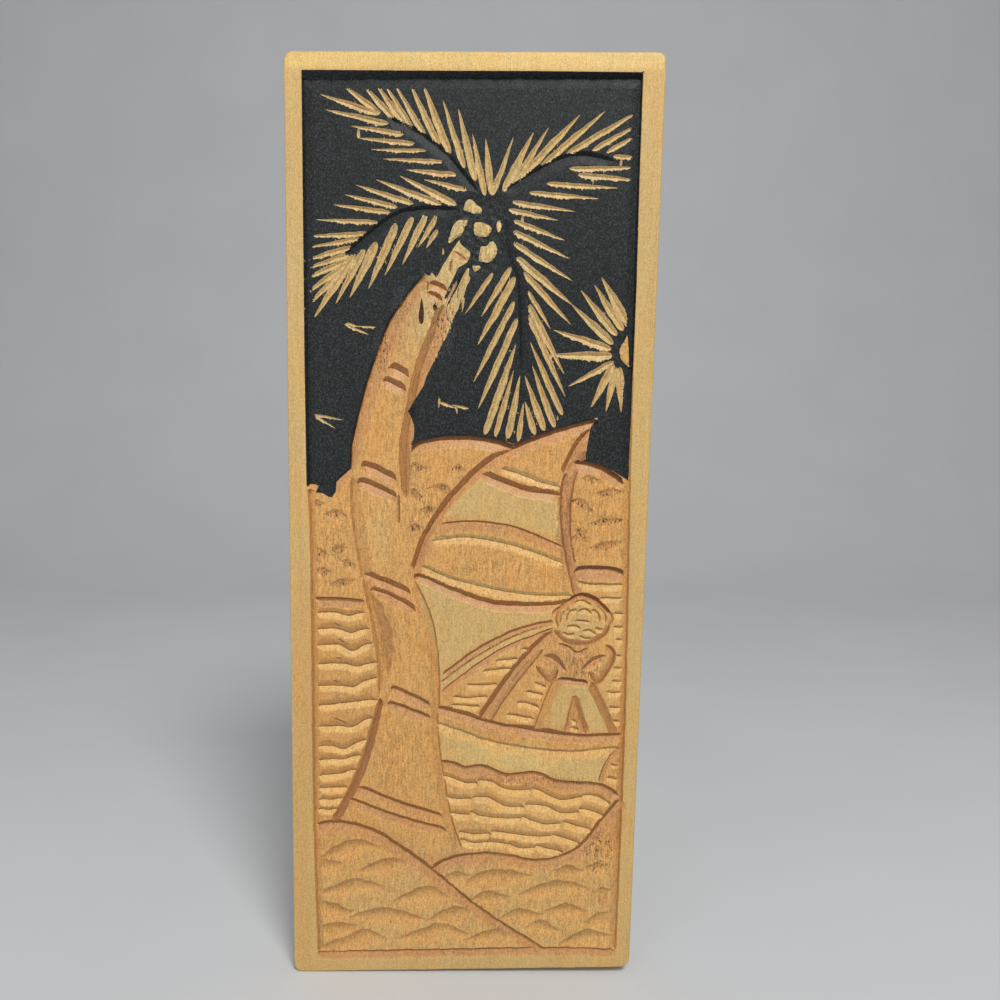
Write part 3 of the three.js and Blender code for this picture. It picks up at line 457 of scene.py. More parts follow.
def cut_boat_waves():
    """Rows of arcs that overlap like scales, each from its left end over its crest to its right end."""
    for line in (
        ((-9, -87.8), (-5, -88.6), (0, -90.6), (5, -90.5)), ((4.4, -89.3), (10, -90.2), (13.4, -92.2), (18, -93.2), (25, -92.8)),
        ((24.4, -92), (29, -94), (33, -96), (37.4, -96.8), (44, -95.4)), ((43, -94.9), (49, -95.3), (54, -98.3)),
        ((-8, -95.5), (-4, -96.8), (3, -96.6)), ((2.6, -96), (8, -96.2), (11.4, -97.6), (15.4, -99.6), (22.4, -99.6)),
        ((22, -98.6), (30, -99.4), (34, -101.2), (38, -102.1), (43, -101.4)), ((42, -100.1), (47, -101), (52, -102.8)),
        ((-5.4, -102), (-1.4, -102.9), (2.4, -103)), ((1.6, -101.5), (6, -103.4), (14, -104.3), (22, -104.2)),
        ((20.6, -103.1), (27, -105.8), (31, -106.6), (36.4, -105.8)), ((36, -105.2), (42, -107), (47.6, -108.4)),
        ((-2.6, -109.6), (3, -110.6), (10, -110.2)), ((9.6, -109.2), (18, -110.4), (27, -111.3), (33, -110.9)),
        ((32, -110.2), (37, -111.8), (43.2, -113.8)), ((-1.6, -112.4), (3, -114), (10, -113.8), (16, -114.2)),
        ((15.6, -113.8), (21, -116), (27, -115.6)), ((26, -114.6), (31, -116), (37, -117.4)),
    ):
        groove(WAVE, *line, wall=2.4, slope=2.2, run_out=1.8)


def cut_beach():
    shore = {**DEEP, "slope": 3.6}
    groove(shore, (-12.4, -123.6), (-7, -120.2), (0, -118.2), (9, -116.9), (18, -118), (27, -119.6), (35.6, -118.2),
           (43.6, -113.6), (50.4, -104), (57.2, -95.4), wall=(1.6, 1.5, 0.8, 0.9, 1, 1.4, 1.5, 1.4), shift=0.9)
    groove(shore, (-55.2, -106), (-49, -105.5), (-42, -106), (-33, -109), (-24, -114.6), (-12, -123.6),
           (3.6, -136.6), (18, -146.6), (32.6, -155.8), wall=(1.1, 1.6, 1.6, 1.6, 1.5, 1.1, 0.7, 0.7, 0.6), shift=1)
    for mark in (
        ((-54, -120), (-45.6, -113.8), (-38, -112.6), (-30.4, -115.4)), ((-55, -121.6), (-52, -119.4), (-44.8, -121.6)),
        ((-39.4, -125.2), (-33.6, -121.4), (-26, -119.5), (-18.6, -121)), ((-54, -133.6), (-46.4, -129.8), (-38, -128), (-30, -131)),
        ((-26.4, -136.8), (-20, -132.8), (-12, -130.6), (-4.6, -135.4)), ((-55, -137.2), (-51, -136.9), (-41.4, -140.8)),
        ((-42.6, -143.4), (-36, -140.6), (-27, -139.6), (-14.4, -143.8)), ((-13.4, -144.4), (-8, -140.4), (0, -138.6), (5, -141.4)),
        ((-23.6, -151.4), (-16, -148), (-8, -145.4), (2.6, -150)), ((-55, -147.6), (-48, -145.4), (-39.6, -146.4)),
        ((-54.4, -156), (-44.6, -151), (-36, -148.3), (-28.6, -152)), ((-2, -129.4), (7, -124.8), (15, -123.8), (26, -126)),
        ((1.6, -136.8), (6, -133.4), (10, -132.4), (18, -134.6)), ((21, -133.6), (28, -129.8), (38, -127.8), (47, -131)),
        ((30.6, -140.4), (36, -137.8), (41.4, -137.3), (46.6, -140.4)), ((13.6, -143.4), (20, -139.3), (30.4, -141.6)),
        ((45.6, -145), (50, -140.8), (55.6, -140.2)), ((1.4, -152), (8, -148.6), (14, -147.6), (24, -151)),
        ((36.6, -153.4), (42, -149.4), (48, -147.8), (56.4, -149.8)), ((23.2, -147.4), (26, -144.4), (30, -143.8), (36.4, -148)),
        ((45.6, -122.4), (49.6, -120), (54, -121.6)), ((48.6, -132.4), (52, -130), (56, -131.6)),
        ((33, -124), (39, -121.8), (45, -123.6)), ((-8, -127), (-3, -124.6), (3, -126)),
    ):
        gouge_mark(GOUGE, *mark)


# Coconuts, as outlines
COCONUTS = (
    ((-3.4, 113.9), (-2.7, 116.5), (-1.6, 117.5), (-0.4, 117.1), (0.9, 115.7), (2.5, 114.8), (3, 113.9), (2.7, 112.9),
     (0.9, 113), (0.2, 112.5), (-0.8, 113)),
    ((-5.8, 110), (-4.6, 110.5), (-1.9, 110.5), (-2.2, 109), (-3.1, 108.2), (-3.1, 107.1), (-4.1, 105.5), (-6, 104.4),
     (-8.1, 102.5), (-8.5, 103.6), (-7.7, 105.9), (-7, 108.2)),
    ((0.3, 109.4), (1.1, 110), (3.2, 109.8), (5.5, 108.8), (6.5, 108), (5.9, 106.7), (4.8, 105.2), (2.1, 105.1),
     (0.5, 105.7), (0.2, 107.5)),
    ((8.4, 110.5), (9, 110.9), (9.7, 108.8), (9.2, 107.1), (8.6, 106.5), (8.1, 107.5), (7.9, 109.4)),
    ((2.7, 101.9), (4.8, 102.1), (5.5, 103.2), (6.7, 103.8), (7.9, 102.5), (8.3, 100.9), (7.9, 99), (6.7, 97.5),
     (5.1, 96.5), (2.1, 97.1), (2.1, 99)),
    ((53.9, 73.3), (54.3, 71.4), (54.6, 66), (55, 62.2), (53.1, 63.7), (51.7, 65.6), (51.4, 67.9), (51.9, 69.8),
     (53.1, 71.4)),
    ((0, 95.5), (2.5, 95.5), (2.8, 94.8), (0.9, 93.4), (0, 94.4)),
)

# Edge of the black painted sky, from the top left corner down the left side
SKY = (
    (-57.6, 157.3), (-57.5, 60), (-57.2, 18.4), (-56, 19.6), (-53, 19.2), (-54, 16.6), (-51.6, 16.4), (-49.6, 15.2),
    (-48.2, 15), (-47, 17), (-46.8, 20.5), (-43, 24), (-41.6, 25.4), (-41.4, 33), (-39.2, 43), (-36.1, 55), (-32.3, 66),
    (-28.2, 76.4), (-22.3, 85.2), (-19.4, 88.8), (-16.2, 92.6), (-14.7, 91.4), (-13.9, 93), (-12.2, 91), (-11.8, 92),
    (-10.2, 95.2), (-8.3, 98.2), (-6.8, 100.9), (-4.9, 103.6), (-3.7, 102.1), (-1, 100.2), (-0.8, 98.6), (-2, 96.5),
    (-4.9, 94.8), (-6.6, 91), (-8, 88.3), (-9.8, 84.3), (-8.2, 83), (-5.6, 87.4), (-2.6, 93.2), (-1.3, 94.8),
    (-1.2, 91.5), (-2.6, 87.5), (-3.9, 84.5), (-4.6, 81), (-6.2, 78.4), (-7.4, 75), (-8.6, 71.5), (-10.2, 69),
    (-11.6, 66), (-13.6, 61.5), (-15.4, 58), (-16.4, 54.6), (-19.4, 50), (-21.7, 45.7), (-20.3, 42.6), (-19.5, 40),
    (-19.8, 36), (-21, 33.6), (-17.8, 35.7), (-7.7, 37.5), (1.7, 37.6), (10.1, 36.4), (15, 35), (22, 37.8), (30, 40.6),
    (44.9, 44.8), (42.4, 41.5), (41.2, 35.5), (40.6, 29.6), (45.5, 28.7), (50.4, 26.2), (56.3, 22.6), (56.3, 60),
    (56.4, 90), (56, 125), (55.9, 159.4), (20, 158.9), (-20, 158),
)

# The picture inside the plain rim
PICTURE = (
    (-57.6, 157.3), (-57, 20), (-55.8, -8), (-55.4, -107), (-54.4, -159.2), (-4.7, -159), (32.4, -158.4),
    (58.2, -157.6), (58.4, -100), (57.2, -8), (56.9, 25), (56.2, 82), (55.9, 159.4), (20, 158.9), (-20, 158),
)


# Reading the cuts

def nearest_on_line(line, at):
    """For each point: its distance to the line, left counted positive, and its place along the line."""
    start, step = line[:-1], np.diff(line, axis=0)
    length2 = np.maximum((step**2).sum(1), 1e-12)
    away = np.empty(len(at))
    place = np.empty(len(at))
    chunk = max(1, 4_000_000 // len(start))
    for first in range(0, len(at), chunk):
        part = at[first:first + chunk]
        offset = part[:, None, :] - start[None]
        t = np.clip((offset * step).sum(2) / length2, 0, 1)
        miss = offset - t[..., None] * step
        nearest = (miss**2).sum(2).argmin(1)
        row = np.arange(len(part))
        gap = miss[row, nearest]
        side = step[nearest, 0] * gap[:, 1] - step[nearest, 1] * gap[:, 0]
        away[first:first + chunk] = np.linalg.norm(gap, axis=1) * np.where(side < 0, -1, 1)
        place[first:first + chunk] = nearest + t[row, nearest]
    return away, place


def read_cut(cut, at):
    """Depth of a cut at points near it, and how far across it they lie: -1 is the top of its wall, 0 its
    valley and 1 the end of its slope."""
    away, place = nearest_on_line(cut["line"], at)
    index = np.arange(len(cut["line"]))
    wall, slope, depth = (np.interp(place, index, cut[key]) for key in ("wall", "slope", "depth"))
    across = np.where(away > 0, -away / np.maximum(wall, 1e-6), -away / np.maximum(slope, 1e-6))
    rest = np.clip(1 - np.abs(across), 0, 1)
    if cut["bend"]:
        level = rest ** np.where(across > 0, cut["bend"][1], cut["bend"][0])
    else:
        level = np.where(across > 0, smooth_step(0, 1, rest), np.sin(rest * math.pi / 2))
    return depth * level, across


def near_cut(cut, at, margin=0.0):
    """Which points lie close enough to a cut to be touched by it."""
    reach = max(cut["wall"].max(), cut["slope"].max()) + margin
    low, high = cut["line"].min(0) - reach, cut["line"].max(0) + reach
    return np.nonzero(((at > low) & (at < high)).all(1))[0]


def deepest(at):
    """Depth of the deepest cut at each point, and which cut that is (-1 on the uncut face)."""
    depth = np.zeros(len(at))
    owner = np.full(len(at), -1)
    for number, cut in enumerate(cuts):
        near = near_cut(cut, at)
        if len(near) == 0:
            continue
        here = read_cut(cut, at[near])[0]
        wins = here > depth[near] + 1e-6
        depth[near[wins]] = here[wins]
        owner[near[wins]] = number
    return depth, owner


def inside_distance(outline, at):
    """Distance to a closed outline, positive inside it."""
    line = np.array([*outline, outline[0]], float)
    away = np.abs(nearest_on_line(line, at)[0])
    x, z = at[:, 0], at[:, 1]
    inside = np.zeros(len(at), bool)
    for (ax, az), (bx, bz) in zip(line[:-1], line[1:]):
        if az != bz:
            inside ^= ((az > z) != (bz > z)) & (x < ax + (z - az) * (bx - ax) / (bz - az))
    return np.where(inside, away, -away)


def in_ellipse(at, x, z, half_width, half_height, turn=0.0):
    """How far inside an ellipse a point is: 1 at its middle, 0 on its edge, less than 0 outside."""
    c, s = math.cos(turn), math.sin(turn)
    dx, dz = at[:, 0] - x, at[:, 1] - z
    return 1 - np.hypot((dx * c + dz * s) / half_width, (dz * c - dx * s) / half_height)


# Colours

def linear(*srgb):
    """Linear colour from sRGB values out of 255."""
    c = np.array(srgb) / 255
    return np.where(c <= 0.04045, c / 12.92, ((c + 0.055) / 1.055) ** 2.4)


WOOD = linear(200, 167, 107)  # the board's own face, as on the rim
# painted light from above: a lighter colour for the rim's top end
LIT_TOP_RIM = linear(218, 186, 118)
STAINED = linear(203, 154, 90)
BROWN = linear(156, 106, 60)
DARK_BROWN = linear(88, 56, 38)
PINK = linear(188, 138, 88)
BLUSH = linear(180, 128, 84)
CREAM = linear(211, 170, 106)
RAW = linear(192, 167, 114)
SHADED_RAW = linear(203, 176, 124)
PAINT = linear(26, 29, 30)

# Colours of each kind of cut: the top of its wall, the foot of its wall with how far up that lasts, and its
# slope with how far up that lasts. Each colour has the share by which it covers the colour round the cut.
# The darker foot is painted shade down in the valley; on the stained kinds it is partly stain gathered there.
CUT_COLOURS = {
    "stain": (BROWN, 1, BROWN * 0.85, 1, 0.3, PINK, 0.9, 0.65),
    "crest": (DARK_BROWN * 0.6, 1, BROWN * 0.7, 1, 0.9, PINK, 0.9, 0.65),
    "dusky": (DARK_BROWN * 1.4, 0.9, BROWN * 0.7, 1, 0.6, PINK, 0.9, 0.65),
    "long": (BROWN, 0.75, BROWN, 0.9, 0.4, PINK, 0.9, 0.75),
    "bevel": (BROWN, 0.5, BROWN, 0.6, 0.3, BROWN, 0.25, 0.8),
    "rough": (BROWN * 0.8, 0.9, BROWN, 0.9, 0.5, BLUSH, 0.7, 0.8),
    "blush": (DARK_BROWN, 0.6, BROWN, 0.6, 0.5, BLUSH, 0.5, 0.8),
    "edge": (BROWN, 0.4, BROWN, 0.5, 0.4, BROWN, 0.12, 0.8),
    # cream: cut after the stain, so its darker wall and brown foot are painted shade
    "cream": (WOOD * 0.92, 1, BROWN * 0.7, 0.8, 0.25, CREAM, 1, 0.85),
    # wave: the dark foot is painted shade along the valley, and the brown wall is partly painted shade on its face
    # turned down
    "wave": (BROWN, 0.3, BROWN * 0.55, 1, 0.2, CREAM * 1.06, 1, 0.7),
    "line": (BROWN, 1, BROWN * 0.7, 1, 1, BROWN, 0.8, 0.3),
    "scribble": (BROWN, 0.3, BROWN * 0.8, 0.9, 0.8, CREAM, 0.8, 0.8),
    "dark": (DARK_BROWN * 0.6, 1, DARK_BROWN * 0.6, 1, 1, DARK_BROWN * 0.6, 1, 1),
    # raw: the brown foot along each leaflet's valley is painted shade, as is the shaded wall
    "raw": (SHADED_RAW, 1, BROWN, 0.35, 0.2, RAW, 1, 1),
    "torn": (STAINED, 1, BROWN, 0.5, 0.5, RAW, 0.8, 0.9),
    # gouge: the brown on its upper wall is painted shade under the crest
    "gouge": (BROWN, 0.45, STAINED, 0.75, 0.9, STAINED, 0.7, 0.75),
    # scoop: the brown over the whole hollow is painted shadow
    "scoop": (BROWN, 0.4, BROWN, 0.5, 0.8, BROWN, 0.45, 0.7),
}
BARE = ("raw", "torn")

# Panels that the stain was kept off
PANELS = (
    ((-9.4, -48.6), (2, -40), (13, -33.6), (23, -29.8), (31.6, -28), (31, -30.8), (23, -34.2), (13, -38.6), (1.4, -46.6),
     (-9, -55)),
    ((6, -65), (14, -52.4), (21, -43), (29, -33.8), (27.4, -38.6), (15.2, -55), (9.2, -65.6)),
    ((-9, 9.5), (-2, 17.5), (4, 24), (12, 19.6), (21, 17), (31.5, 16), (31.8, 2), (18, 5.8), (4, 8)),
    ((-18.6, -15.4), (-16, -14.2), (-6, -19.4), (8, -24.4), (22, -25), (33, -24.2), (30.6, -27.4), (13, -32.8),
     (2, -38.8), (-9.6, -48.4), (-12, -38), (-16.4, -24)),
    ((-10, -70.5), (0, -74), (10, -76.6), (24, -79), (38, -80), (52.8, -79), (50, -89.4), (38, -89),
     (27, -85.6), (15.6, -86), (5.4, -83), (-9, -81.5)),
    ((30.4, -69.6), (31, -60), (33.8, -52.6), (38.4, -52.4), (38.8, -56), (35, -69.8)),
    ((38.4, -52.4), (43.8, -52.6), (47.6, -59), (51.6, -69.8), (45.4, -69.8), (39.8, -56)),
    ((32, -30), (34, -24.6), (39, -21.4), (45.4, -22), (50.6, -28), (49.6, -32.6), (45, -35.6), (38, -36.2)),
)

# Soft stains, and painted shade on the trunk's shadowed lower left bevel: x, z, half width, half height, turn, colour,
# strength
BLOTCHES = (
    (-31, 4, 8, 22, 0, WOOD, 0.5), (-8, 96, 9, 10, 0, RAW, 0.9), (-22, 76, 4, 20, -0.42, STAINED * 1.1, 0.6),
    # the BROWN at (-27.5, -34) is painted shade on the trunk's lower left bevel
    (-27.5, -34, 3, 16, 0.1, BROWN, 0.3), (57.6, -60, 1.5, 100, 0, BROWN, 0.35), (-55.8, -60, 1.2, 100, 0, BROWN, 0.2),
    (53, -110, 7, 16, -0.5, BROWN, 0.3), (18, 33, 18, 4, 0.3, PINK, 0.5), (40, -44, 16, 10, 0, PINK, 0.6),
    (0, -142, 104, 44, 0, WOOD, 0.6), (0, -120, 30, 5, 0, PINK, 0.5), (-30, -113, 30, 6, -0.35, PINK, 0.5),
    (-60, -80, 6, 110, 0, STAINED, 0.5), (26, -89, 34, 3.4, -0.12, PINK * 0.85, 0.8),
    (-17, -6, 3.4, 12, -0.45, PINK, 0.8), (-9, 4, 2, 12, -0.6, PINK, 0.6), (-42, -66, 12, 44, 0, STAINED * 0.95, 0.5),
    (0, 108, 100, 66, 0, RAW, 1), (23, -101, 40, 15, -0.14, CREAM, 0.8), (53, -38, 7, 40, 0, CREAM, 0.8),
    (22, -81, 40, 7, -0.1, LIT_TOP_RIM, 0.5), (34, 8, 3.6, 30, 0.03, BLUSH, 0.8), (38.6, 33, 4, 12, 0, BLUSH, 0.9),
    (9, -46, 30, 6, 0.9, CREAM, 0.5), (12, -39, 24, 5, 0.62, CREAM, 0.5), (-26, 74, 7, 28, -0.5, BROWN * 1.2, 0.45),
    (12, 2.6, 26, 2.4, -0.1, PINK, 0.3), (20, -69, 40, 4, -0.08, PINK, 0.4), (47, -11, 12, 3, 0, PINK, 0.8),
)

# Places where the grain tore under the tool: x, z, half width, half height, strength
TORN = (
    (12, -9, 30, 4, 0.75), (-17, 14, 7, 22, 0.7), (34, 8, 5, 30, 0.8), (38.6, 34, 5, 12, 0.8), (2, 106, 16, 18, 0.7),
    (-31, 66, 5, 14, 0.9), (-24, 82, 6, 10, 0.9), (47, 12, 12, 22, 0.6), (-48, 0, 9, 20, 0.6),
    (-30, 52, 9, 18, 0.5), (-24, -33, 8, 12, 0.5), (-25, -80, 14, 22, 0.6), (15, 31, 18, 5, 0.5),
    (-10, 76, 8, 20, 0.9), (50, -116, 10, 16, 0.9), (0, -138, 58, 30, 0.45), (40, -45, 16, 10, 0.8),
    (26, -89, 34, 3, 0.8), (-42, -62, 14, 44, 0.35), (20, -105, 36, 14, 0.3), (-31, 4, 8, 20, 0.5),
)


# Water, where the tool left a clean cut: x, z, half width, half height, turn
SMOOTH = (
    (23, -101, 38, 16, -0.14), (53, -38, 7, 36, 0), (-46, -62, 14, 44, 0.1), (8, -56, 20, 12, 0),
)


def mix(a, b, share):
    return a + (b - a) * np.asarray(share)[..., None]


def face_tint(at):
    """Colour of the uncut face: plain wood on the rim and on the panels, stained elsewhere, with painted light along
    the rim's top end.
    """
    picture = inside_distance(PICTURE, at)
    # the rim lightens towards its top end: painted light from above
    rim = mix(WOOD, LIT_TOP_RIM, smooth_step(158, 160.5, at[:, 1] - END_SKEW / WIDTH * at[:, 0]))
    tint = mix(rim, STAINED, smooth_step(-0.3, 0.3, picture))
    for outline in PANELS:
        tint = mix(tint, WOOD, smooth_step(-0.7, 0.7, inside_distance(outline, at)))
    for x, z, half_width, half_height, turn, colour, strength in BLOTCHES:
        inside = in_ellipse(at, x, z, half_width, half_height, turn)
        tint = mix(tint, colour, strength * smooth_step(0, 0.8, inside))
    return tint


def cut_tint(finish, across, ground):
    """Colour on the two faces of a V cut, over the colour of the face round it."""
    if finish == "paint":
        return ground
    wall, wall_share, foot, foot_share, reach, slope, slope_share, last = CUT_COLOURS[finish]
    up_wall = mix(mix(ground, foot, foot_share), mix(ground, wall, wall_share), smooth_step(0, reach, -across))
    up_slope = mix(ground, slope, slope_share * smooth_step(1.1, last, across))
    return np.where((across < 0)[:, None], up_wall, up_slope)


def is_painted(middle, finish):
    """Which faces carry the sky's black paint, by the middle of each and the finish of its cut."""
    painted = inside_distance(SKY, middle) > 0
    for nut in COCONUTS:
        painted &= inside_distance(nut, middle) < 0
    return painted & ~np.isin(finish, BARE)


def paint_distance(at):
    """Distance in millimetres to the nearest edge of the black paint, at most 2."""
    away = np.abs(inside_distance(SKY, at))
    for cut in cuts:
        if cut["finish"] in BARE:
            near = near_cut(cut, at, 2)
            across = read_cut(cut, at[near])[1]
            size = np.where(across < 0, cut["wall"].max(), cut["slope"].max())
            away[near] = np.minimum(away[near], np.maximum(np.abs(across) - 1, 0) * size)
    for nut in COCONUTS:
        away = np.minimum(away, np.abs(inside_distance(nut, at)))
    return np.minimum(away, 2)


LEAST_PAINT = 0.12  # paint is at least this far from its edge, so that the edge stays ragged but whole
UNPAINTED = 0.5


# Mesh of the carved board

def ripple(at, wavelength, seed):
    """A gentle random swell, mostly between -1 and 1, over the face."""
    turns = np.random.default_rng(seed)
    total = np.zeros(len(at))
    for _ in range(7):
        angle, phase, stretch = turns.random(3)
        direction = np.array([math.cos(6.28 * angle), math.sin(6.28 * angle)]) / (0.7 + 0.6 * stretch)
        total += np.sin((at @ direction) * 2 * math.pi / wavelength + 6.28 * phase)
    return total / 4.5


def relief(at):
    """How deep the finished face lies at each point."""
    depth = deepest(at)[0]
    crown = smooth_step(0, 0.3, in_ellipse(at, 2.2, 106, 12.5, 15.5, -0.2))
    lumps = 0.45 + 0.35 * ripple(at, 3.4, 3) + 0.2 * ripple(at, 1.9, 4)
    depth = np.maximum(depth, crown * np.clip(lumps, 0, 1.1))
    for nut in COCONUTS:
        facet = np.clip(0.12 + 0.03 * (at - nut[0]).sum(1), 0, 0.4)
        edge = smooth_step(-0.7, 0, inside_distance(nut, at))
        depth = np.where(edge == 1, facet, np.maximum(depth, 0.5 * edge))
    carved = smooth_step(-0.5, 1, inside_distance(PICTURE, at)) * (1 - crown)
    swell = 0.03 * (1 + ripple(at, 23, 5)) + carved * (0.05 * (1 + ripple(at, 5, 6)) + 0.03 * ripple(at, 2.8, 7))
    return np.maximum(0, depth + swell * smooth_step(1.2, 0.2, depth))


def outline_ring():
    """The board's outline at its front arris, clockwise from the top left corner, and the way out of it."""
    left, right = -WIDTH / 2 + EASED_EDGE, WIDTH / 2 - EASED_EDGE
    top, bottom = HEIGHT / 2 - EASED_EDGE, -HEIGHT / 2 + EASED_EDGE
    tilt = END_SKEW / 2
    corners = np.array([(left, top - tilt), (right, top + tilt), (right, bottom + tilt), (left, bottom - tilt)])
    ring = []
    for index, corner in enumerate(corners):
        ends = []
        for other in (corners[index - 1], corners[(index + 1) % 4]):
            toward = other - corner
            ends.append(corner + toward / np.linalg.norm(toward) * CORNER_RADII[index])
        t = np.linspace(0, 1, 8)[:, None]
        if ring:
            straight = respaced(np.array([ring[-1], ends[0]]), 2.2)
            ring.extend(straight[1:-1])
        ring.extend((1 - t) ** 2 * ends[0] + 2 * t * (1 - t) * corner + t**2 * ends[1])
    ring.extend(respaced(np.array([ring[-1], ring[0]]), 2.2)[1:-1])
    ring = np.array(ring)
    along = np.roll(ring, -1, 0) - np.roll(ring, 1, 0)
    along /= np.linalg.norm(along, axis=1)[:, None]
    return ring, np.stack([-along[:, 1], along[:, 0]], 1)


def cut_lines():
    """Points and edges that the mesh follows: each cut's valley and the two edges of its V."""
    points, edges = [], []
    for cut in cuts:
        left = left_of(cut["line"])
        sides = [(cut["line"], cut["depth"]), (cut["line"] + left * cut["wall"][:, None], None)]
        if cut["bend"]:
            sides.append((cut["line"] - left * cut["slope"][:, None], None))
        for line, own in sides:
            first = sum(map(len, points))
            points.append(np.column_stack([line, np.zeros(len(line)) if own is None else own]))
            edges.extend((first + k, first + k + 1) for k in range(len(line) - 1))
    points = np.vstack(points)
    hidden = deepest(points[:, :2])[0] > points[:, 2] + 0.05
    kept = np.nonzero(~hidden)[0]
    number = np.full(len(points), -1)
    number[kept] = np.arange(len(kept))
    edges = [(number[a], number[b]) for a, b in edges if number[a] >= 0 and number[b] >= 0]
    return points[kept, :2], edges


def fill_points(lines, edges):
    """Points between the lines: close together inside the cuts and farther apart on the flats."""
    columns = int(WIDTH / FILL_GAP)
    rows = int((HEIGHT + END_SKEW) / FILL_GAP)
    column, row = np.meshgrid(np.arange(columns), np.arange(rows))
    column, row = column.ravel(), row.ravel()
    x = (column + 0.5 * (row % 2)) * FILL_GAP - WIDTH / 2
    at = np.stack([x, row * FILL_GAP - (HEIGHT + END_SKEW) / 2], 1)
    at += random.uniform(-0.12, 0.12, at.shape)
    crown = in_ellipse(at, 2.2, 106, 13, 16, -0.2) > 0
    sparse = (column % SPARSE == 0) & (row % SPARSE == 0)
    at = at[(deepest(at)[0] > 0.07) | crown | sparse]
    cell = 0.15
    shape = (int(WIDTH / cell) + 40, int((HEIGHT + 6) / cell) + 40)
    taken = np.zeros(shape, bool)

    def cells(points):
        index = ((points + (WIDTH / 2 + 1, HEIGHT / 2 + 3)) / cell).astype(int)
        return np.clip(index[:, 0], 0, shape[0] - 1), np.clip(index[:, 1], 0, shape[1] - 1)

    ends = lines[np.array(edges)]
    for share in np.linspace(0, 1, 6):
        taken[cells(ends[:, 0] * (1 - share) + ends[:, 1] * share)] = True
    reach = int(CLEARANCE / cell) + 1
    wide = np.zeros(shape, bool)
    for dx in range(-reach, reach + 1):
        for dz in range(-reach, reach + 1):
            if math.hypot(dx, dz) * cell <= CLEARANCE + 0.5 * cell:
                wide |= np.roll(np.roll(taken, dx, 0), dz, 1)
    return at[~wide[cells(at)]]


def front_face(ring):
    """Triangles of the carved face inside a ring. Returns points, faces and the ring's own point numbers."""
    lines, edges = cut_lines()
    for outline, gap in ((SKY, 1.2), *((nut, 0.8) for nut in COCONUTS)):
        loop = respaced(np.array([*outline, outline[0]], float), gap)
        edges += [(len(lines) + k, len(lines) + k + 1) for k in range(len(loop) - 1)]
        lines = np.vstack([lines, loop])
    fill = fill_points(lines, edges)
    fill = fill[inside_distance(ring, fill) > 0.4]
    count = len(ring)
    points = np.vstack([ring, lines, fill])
    edges = [(k, (k + 1) % count) for k in range(count)] + [(a + count, b + count) for a, b in edges]
    result = delaunay_2d_cdt([Vector(p) for p in points.tolist()], edges, [], 1, 0.01)
    flat = np.array([tuple(p) for p in result[0]])
    number = np.full(count, -1)
    for new, olds in enumerate(result[3]):
        for old in olds:
            if old < count:
                number[old] = new
    return flat, np.array([tuple(f) for f in result[2] if len(f) == 3]), number


def face_corners(flat, faces):
    """Colour and distance into the paint at each corner of each face of the carved side."""
    middle = flat[faces].mean(1)
    owner = deepest(middle)[1]
    tint = face_tint(flat)[faces].reshape(-1, 3)
    corner_at = flat[faces].reshape(-1, 2)
    corner_owner = np.repeat(owner, 3)
    corner_middle = np.repeat(middle, 3, axis=0)
    for index, cut in enumerate(cuts):
        mine = np.nonzero(corner_owner == index)[0]
        if len(mine):
            across = read_cut(cut, corner_at[mine])[1]
            on_wall = read_cut(cut, corner_middle[mine])[1] < 0
            across = np.where(on_wall, np.clip(across, -1, -1e-4), np.clip(across, 1e-4, 1))
            if cut["finish"] == "gouge":
                across = across + 0.2 * ripple(corner_at[mine] * (1, 0.12), 1.7, 8)
            tint[mine] = cut_tint(cut["finish"], across, tint[mine])
    finish = np.array([cut["finish"] for cut in cuts] + ["none"])[owner]
    painted = np.repeat(is_painted(middle, finish), 3)
    depth_in = np.maximum(paint_distance(flat)[faces].ravel(), LEAST_PAINT)
    return tint, np.where(painted, depth_in, -UNPAINTED)


